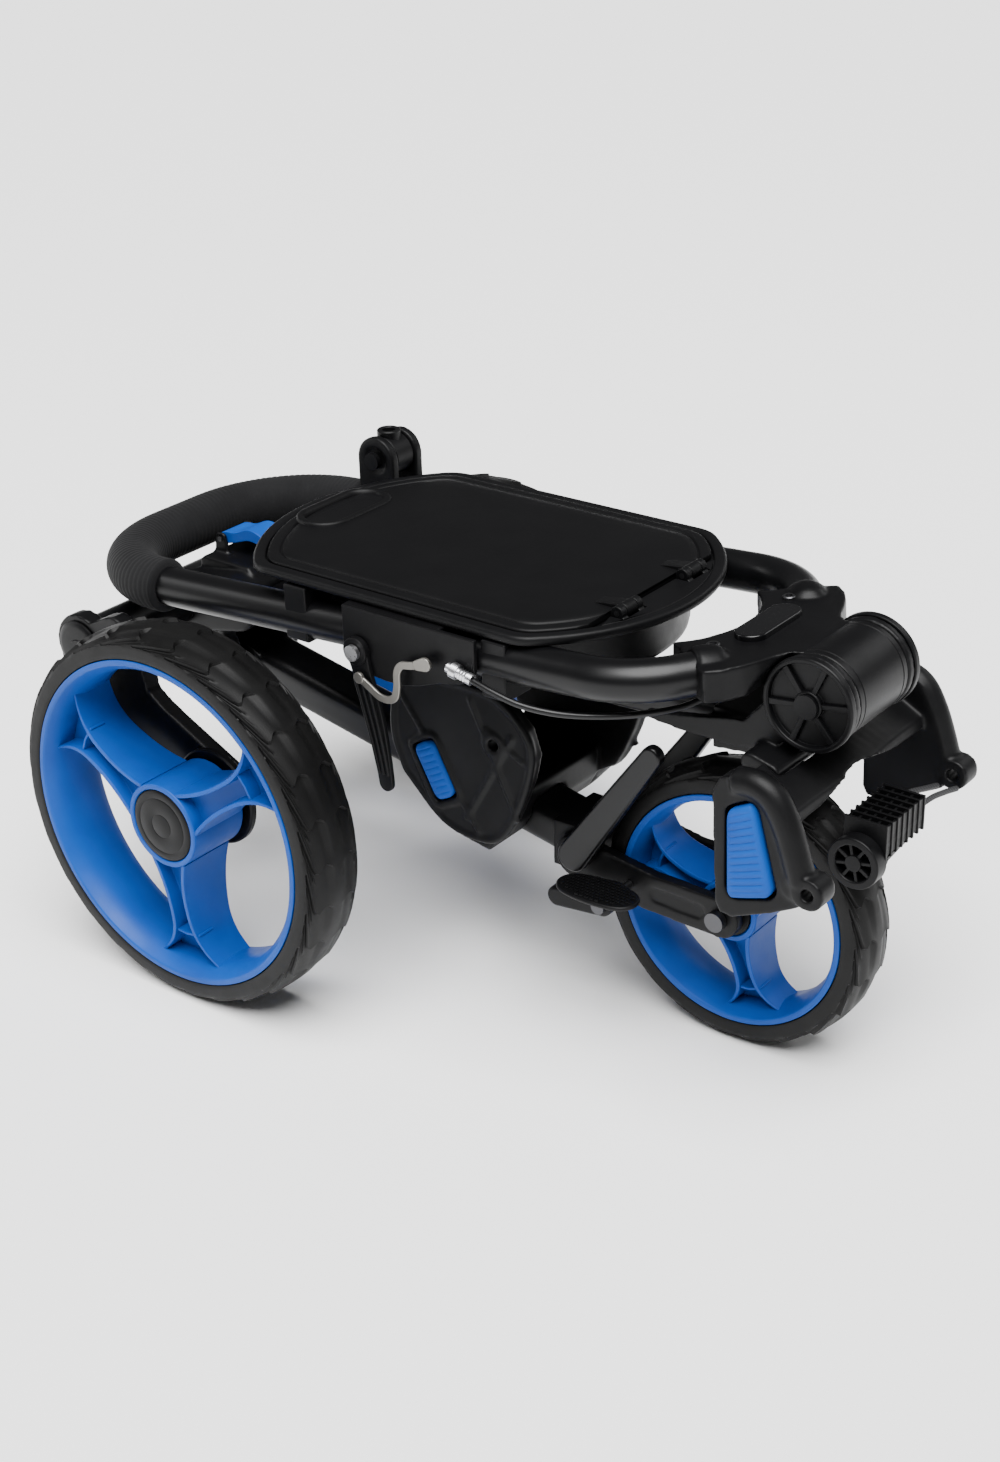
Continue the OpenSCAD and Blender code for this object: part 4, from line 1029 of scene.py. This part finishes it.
def build_front_arm():
    mid, front = pivot_xz("arm_fold"), pivot_xz("front_wheel_spin")
    parts = [beam(*ARM, 40, 30, 8), slab(link(mid, 18.4, (mid[0] + 14, mid[1] - 3), 16.5, 20), -20.6, 20.6)]
    arm = cast("front_arm_tube", parts, PAINT, "front_arm", voxel=1.3, smooth=3,
               cut=[cylinder_y(mid, 8.3, -30, 30)])
    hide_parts("front_arm")
    blades = both(link((88, 112), 16.4, (150, 104), 14.5, 20), 24.4, 33.6)
    blades += both(link((150, 104), 14.3, front, 14.6, 20), 24.4, 33.6)
    blades.append(slab([(63, 95), (93, 95), (93, 131), (63, 131)], -24.5, 24.5))
    blades += both([(88, 122), (110, 122), (114, 112), (112, 104), (88, 104)], 30, 33.8)
    cuts = [cylinder_y(front, 4.2, -40, 40, 32)]
    for side in (-1, 1):
        y = side * 34
        cuts.append(slab(link((156, 104), 6.5, (188, 103), 6.5), y - 1.6, y + 1.6))
    fork = cast("fork_casting", blades, CASTING, "front_arm", voxel=1.1, smooth=4, cut=cuts)
    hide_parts("fork")
    bars = both(link((92, 118), 11.6, (156, 212), 7.6, 20), 34.6, 43.6)
    strut = mesh_piece("fold_strut_bars", *merge(bars), PAINT, "front_arm")
    soften(strut, 2.2, 4)
    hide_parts("fold_struts")
    cradle = [(-30, 161), (-35, 172), (-40, 191), (-38, 214), (-33, 229), (-24, 236.5), (-8, 242),
              (46, 242.5), (62, 235), (77, 221), (83, 202), (79, 184), (73, 167), (64, 147), (57, 135),
              (46, 128), (37, 125), (18, 126), (3, 131), (-12, 144)]
    parts = both(cradle, 60.6, 71.5)
    rim_line = catmull([(-29, 163), (-38, 190), (-33, 226), (-10, 239.5), (46, 240), (74, 221), (80.5, 201),
                        (72, 168), (56, 137), (37, 127.5), (4, 133), (-29, 163)], 6)
    for side in (-1, 1):
        parts.append(sweep([(x, side * 70.4, z) for x, z in rim_line], 2.9, 14))
        for a, b in (((30, 234), (70, 150)), ((-30, 222), (36, 132)), ((66, 214), (24, 140)),
                     ((44, 214), (76, 196))):
            parts.append(sweep([(a[0], side * 71.2, a[1]), (b[0], side * 71.2, b[1])], 2.0, 10))
        parts.append(slab(circle(50, 204, 9, 32), *sorted((side * 62, side * 73.6))))
        frame_pad = [(-21.5, 185), (-2.4, 194.5), (17.8, 155.6), (-1.2, 145.6)]
        loop = catmull([(-22.5, 185), (-12, 193), (-1.5, 195.5), (9, 176), (18.6, 155), (9, 148), (-2, 144.5),
                        (-13, 165), (-22.5, 185)], 5)
        parts.append(sweep([(x, side * 71.6, z) for x, z in loop], 2.3, 12))
    parts.append(slab([(-23, 159), (43, 146), (43, 127), (35, 113), (3, 119), (-19, 150)], -62, 62))
    cuts = [beam((-90, 146.7), (70, 114.8), 40.6, 30.6, 8), slab(circle(50, 204, 4.2, 24), -80, 80)]
    for side in (-1, 1):
        cuts.append(slab(frame_pad, *sorted((side * 64, side * 90))))
    bracket = cast("lower_cradle", parts, PLASTIC, "front_arm", voxel=1.35, smooth=5, cut=cuts)
    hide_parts("lower_bracket")
    corners = [(-0.6, 147.0), (16.6, 156.0), (-3.2, 193.6), (-20.4, 184.6)]
    pads = [ribbed_pad(corners, side * 64.4, side * 75.4, 9) for side in (-1, 1)]
    pad = mesh_piece("lower_cradle_pads", *merge(pads), BLUE_SOFT, "front_arm")
    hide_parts("lower_pads")


build_front_arm()


def build_pedal():
    """Foot pedal with a rounded tread plate of small studs."""
    at = pivot_xz("pedal_press")
    y0, y1 = -69.6, node_box("fold_pedal")[1][1] - 0.4
    core = mesh_piece("pedal_body", *slab(link(at, 8.4, (97.5, 101), 7.4, 20), y0, y1), PLASTIC, "pedal")
    soften(core, 2.4, 4)
    middle = (129.5, -65)
    rings = []
    for grow, z in ((-2.6, 111.6), (-0.6, 111.9), (0.0, 112.8), (0.0, 114.0), (-0.7, 114.9), (-2.2, 115.2)):
        ring = []
        for k in range(80):
            a = 2 * math.pi * k / 80
            x, y = math.cos(a), math.sin(a)
            swell = (x**4 + y**4) ** -0.25 * 0.35 + 0.65
            ring.append((middle[0] + (31.6 + grow) * x * swell, middle[1] + (15.8 + grow) * y * swell, z))
        rings.append(ring)
    parts = [loft(rings)]
    for i in range(-7, 8):
        for k in range(-4, 5):
            x, y = 4.1 * i + 2.05 * (k % 2), 3.2 * k
            if (x / 28.5) ** 2 + (y / 13.5) ** 2 < 1:
                cx, cy = middle[0] + x, middle[1] + y
                parts.append(block(cx - 1.4, cx + 1.4, cy - 0.9, cy + 0.9, 114.9, 116.2))
    tread = mesh_piece("pedal_tread", *merge(parts), PLASTIC, "pedal")
    soften(tread, 0.3, 2)
    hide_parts("fold_pedal")


build_pedal()

# ---- brake control and accessory knuckle ----


def build_brake():
    at, pin = pivot_xz("brake_pull"), pivot_xz("brake_link_turn")
    lo, hi = node_box("brake_bracket")
    y0, y1 = lo[1], lo[1] + 4.0
    outline = [(-36, 303.5), (-36.2, 272), (-34, 266), (-29, 261.5), (-22, 259.2), (-12, 257.6), (0, 256.6),
               (14, 257.0), (28, 260.5), (44, 266.5), (62, 270.5), (70, 273.5), (74, 281), (74, 303.5)]
    shelf = block(-36, 44, y1 - 1, hi[1], 301.4, 303.6)
    plate_piece = mesh_piece("brake_plate", *merge([slab(outline, y0, y1), shelf]), PLASTIC, "handle")
    soften(plate_piece, 0.9, 3)
    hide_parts("brake_bracket")
    lo, hi = node_box("brake_lever")
    y0, y1 = lo[1] + 0.1, hi[1] - 0.1
    tip = (-2, 182)
    left = catmull([(-31.5, 272), (-27, 262), (-22, 244), (-15.5, 220), (-10.5, 200), (-8, 184)], 8)
    right = catmull([(3.8, 184), (2, 204), (-1, 226), (-5, 244), (-10.5, 262), (-12.6, 274)], 8)
    outline = np.vstack((arc(*at, 9.7, 20, 170, 16), left, arc(*tip, 5.7, 190, 350, 14), right))
    parts = [slab(outline, y0 + 1.6, y1)]
    for f in (0.0, 0.5, 1.0):
        ends = ((-23.5, -13.5, 256), (-16.8, -7.5, 232), (-11.0, -2.6, 210), (-6.2, 1.0, 189))
        line = catmull([((1 - f) * a + f * b, y0 + 1.6, z) for a, b, z in ends], 8)
        parts.append(sweep(line, 1.45, 12))
    parts.append(slab(circle(*at, 9.7, 48), y0, y1))
    lever = mesh_piece("brake_hand_lever", *merge(parts), PLASTIC, "lever")
    soften(lever, 0.7, 3)
    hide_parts("brake_lever")
    lo, hi = node_box("brake_link")
    y0 = lo[1]
    wire = catmull([(pin[0], pin[1]), (-8, 253), (0, 248.6), (8, 248.4), (13.5, 252), (15.4, 260), (16, 270),
                    (20, 276), (28, 278), (39, 281.5)], 6)
    way = np.gradient(wire, axis=0)
    way /= np.linalg.norm(way, axis=1)[:, None]
    flank = np.column_stack((-way[:, 1], way[:, 0])) * 2.7
    strip = np.vstack((wire + flank, (wire - flank)[::-1]))
    parts = [slab(strip, y0 + 0.7, y0 + 2.7), slab(circle(*pin, 4, 32), y0 + 0.2, y0 + 2.8),
             slab(link((34, 280), 3.6, (40, 282), 4.8), y0 + 0.1, y0 + 2.8)]
    wire_piece = mesh_piece("brake_pull_link", *merge(parts), DULL_STEEL, "link")
    soften(wire_piece, 0.5, 2)
    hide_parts("brake_link")
    a, b = np.array((56, y0 + 3.6, 284.0)), np.array((76, y0 + 4.6, 279.0))
    stations = ((0, 2.2), (1.0, 3.4), (4.5, 3.4), (4.6, 5.3), (9.4, 5.3), (9.5, 3.6), (10.4, 3.2),
                (11.2, 3.9), (12.2, 3.2), (13.2, 3.9), (14.2, 3.2), (15.2, 3.9), (16.2, 3.2), (17.0, 4.0),
                (20.6, 4.0))
    axis = (b - a) / np.linalg.norm(b - a)
    path = [a + axis * d for d, _ in stations]
    nut = mesh_piece("cable_barrel_adjuster", *sweep(path, np.array([r for _, r in stations]), 36), STEEL,
                     "handle", sharp=40)
    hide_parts("cable_adjuster")
    route = [(76, -125, 279), (92, -125, 275), (112, -122, 270), (134, -114, 267), (156, -101, 266),
             (176, -84, 266), (194, -64, 268), (205, -51, 274), (208, -48, 281)]
    cable = mesh_piece("brake_cable_casing", *sweep(catmull(route, 10), 2.2, 20), CABLE, "handle")
    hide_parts("brake_cable")


build_brake()


def build_knuckle():
    """Clamp with two round-topped ears and the swivelling socket between them."""
    c = pivot("knuckle_tilt")
    at, y = (c[0], c[2]), c[1]
    ear = np.vstack((arc(*at, 17.4, 0, 180, 28), [(at[0] - 17.4, 258), (at[0] + 17.4, 258)]))
    parts = [slab(ear, y - 17.6, y - 10.4), slab(ear, y + 10.4, y + 17.6),
             slab([(at[0] - 17.4, 257), (at[0] + 17.4, 257), (at[0] + 17.4, 291), (at[0] - 17.4, 291)],
                  y - 17.6, y + 17.6)]
    cuts = [cylinder_y(at, 20.2, y - 10.1, y + 10.1, 64)]
    for side in (-1, 1):
        outer = y + side * 17.7
        cuts.append(slab(circle(*at, 10.0, 40), outer - 1.8, outer + 1.8))
    clamp = cast("knuckle_ears", parts, PLASTIC, "handle", voxel=1.0, smooth=5, cut=cuts)
    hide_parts("knuckle_clamp")
    drum = [(4.2, -9.6), (14.8, -9.6), (15.8, -8.6), (15.8, 8.6), (14.8, 9.6), (4.2, 9.6)]
    stem_prof = [(5.1, 6.0), (5.1, 19.4), (5.7, 20.0), (8.3, 20.0), (9.0, 19.3), (9.0, 1.0), (5.1, 1.0)]
    verts, faces = revolve(stem_prof, (0, 0, 0), 56)
    stem = (verts[:, [0, 2, 1]] + np.array((c[0], c[1], c[2])), faces)
    swivel = mesh_piece("umbrella_swivel", *merge([revolve(drum, (c[0], c[1], c[2]), 72), stem]), PLASTIC,
                        "knuckle", sharp=38)
    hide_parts("accessory_knuckle")


build_knuckle()


def build_clamps():
    """Saddles between console and tubes, with rounded edges."""
    parts = []
    for x in (-84, 84):
        for side in (-1, 1):
            y0, y1 = sorted((side * 84.8, side * 113.6))
            ring = [(y0, 302.8), (y0, 264), (y0 + 2, 262.4), (y1 - 2, 262.4), (y1, 264), (y1, 302.8)]
            low = [(x - 9.6, p, q) for p, q in ring]
            high = [(x + 9.6, p, q) for p, q in ring]
            parts.append(loft([low, high]))
    saddle = mesh_piece("console_saddles", *merge(parts), PLASTIC, "handle")
    soften(saddle, 1.4, 3)
    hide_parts("console_clamps")


build_clamps()

dress(STEEL, "lever_screw", "rear_axles", "left_bearings", "right_bearings", "front_bearings")
dress(CASTING, "barrel_bolt", "knuckle_bolt")
dress(DARK_STEEL, "arm_pin", "release_pin", "lid_pin", "front_axle_bolt", "pedal_pin")
dress(PLASTIC, "front_hub_caps")
dress(BRONZE, "barrel_bushes", "tray_screws")


# ---- stage, light and camera ----


def add_area(name, place, target, size, power):
    light = bpy.data.lights.new(name, "AREA")
    light.shape = "RECTANGLE"
    light.size, light.size_y = size
    light.energy = power
    obj = bpy.data.objects.new(name, light)
    bpy.context.collection.objects.link(obj)
    obj.location = place
    obj.rotation_euler = (Vector(target) - Vector(place)).to_track_quat("-Z", "Y").to_euler()


FLOOR_HALF_M = 60.0
FILL = 0.13  # strength of the surround as a light
BACKDROP = 2.1  # and as the camera sees it
SKY_POWER, SKY_ANGLE = 8.4, math.radians(50)


def build_stage():
    """Pale floor, big soft lights and an even surround."""
    mesh = bpy.data.meshes.new("floor")
    corners = [(-FLOOR_HALF_M, -FLOOR_HALF_M, 0), (FLOOR_HALF_M, -FLOOR_HALF_M, 0),
               (FLOOR_HALF_M, FLOOR_HALF_M, 0), (-FLOOR_HALF_M, FLOOR_HALF_M, 0)]
    mesh.from_pydata(corners, [], [(0, 1, 2, 3)])
    floor = bpy.data.objects.new("floor", mesh)
    bpy.context.collection.objects.link(floor)
    mat, _, _, shader = new_material("pale_floor")
    shader.inputs["Base Color"].default_value = (0.93, 0.93, 0.93, 1)
    shader.inputs["Roughness"].default_value = 0.9
    shader.inputs["Specular IOR Level"].default_value = 0.05
    mesh.materials.append(mat)
    world = bpy.data.worlds.new("studio")
    bpy.context.scene.world = world
    world.use_nodes = True
    world.node_tree.nodes["Background"].inputs["Color"].default_value = (1, 1, 1, 1)
    nodes, links = world.node_tree.nodes, world.node_tree.links
    path = nodes.new("ShaderNodeLightPath")
    glow = ramp(nodes, links, path.outputs["Is Camera Ray"], 0, 1, FILL, BACKDROP)
    links.new(glow, nodes["Background"].inputs["Strength"])
    sun = bpy.data.lights.new("overhead_sky", "SUN")
    sun.energy = SKY_POWER
    sun.angle = SKY_ANGLE
    lamp = bpy.data.objects.new("overhead_sky", sun)
    bpy.context.collection.objects.link(lamp)
    lamp.rotation_euler = Vector((0.25, -0.28, 1.0)).to_track_quat("Z", "Y").to_euler()
    centre = (0.0, 0.0, 0.2)
    add_area("key_softbox", (0.3, -1.5, 1.9), centre, (1.4, 1.0), 14.0)
    add_area("left_strip", (-1.6, -0.8, 0.9), centre, (0.4, 1.6), 9.0)
    add_area("rim_strip", (0.9, 1.6, 1.3), centre, (1.6, 0.5), 8.0)


def build_camera():
    """Camera in front and to the right, a little above; angles in degrees, aimed beside the handle."""
    az, el, roll = (math.radians(v) for v in (37.923, 26.191, -1.649))
    target = Vector((0.155628, -0.200, 0.296146))
    distance_m = 1.278197
    back = Vector((math.sin(az) * math.cos(el), -math.cos(az) * math.cos(el), math.sin(el)))
    right = Vector((math.cos(az), math.sin(az), 0))
    up = back.cross(right)
    cam_right = math.cos(roll) * right + math.sin(roll) * up
    cam_up = -math.sin(roll) * right + math.cos(roll) * up
    data = bpy.data.cameras.new("camera")
    data.lens = 53.90
    data.sensor_width = 36.0
    data.clip_end = 50.0
    cam = bpy.data.objects.new("camera", data)
    bpy.context.collection.objects.link(cam)
    rows = [[cam_right[i], cam_up[i], back[i], target[i] + back[i] * distance_m] for i in range(3)]
    cam.matrix_world = Matrix(rows + [[0, 0, 0, 1]])
    bpy.context.scene.camera = cam


build_stage()
build_camera()
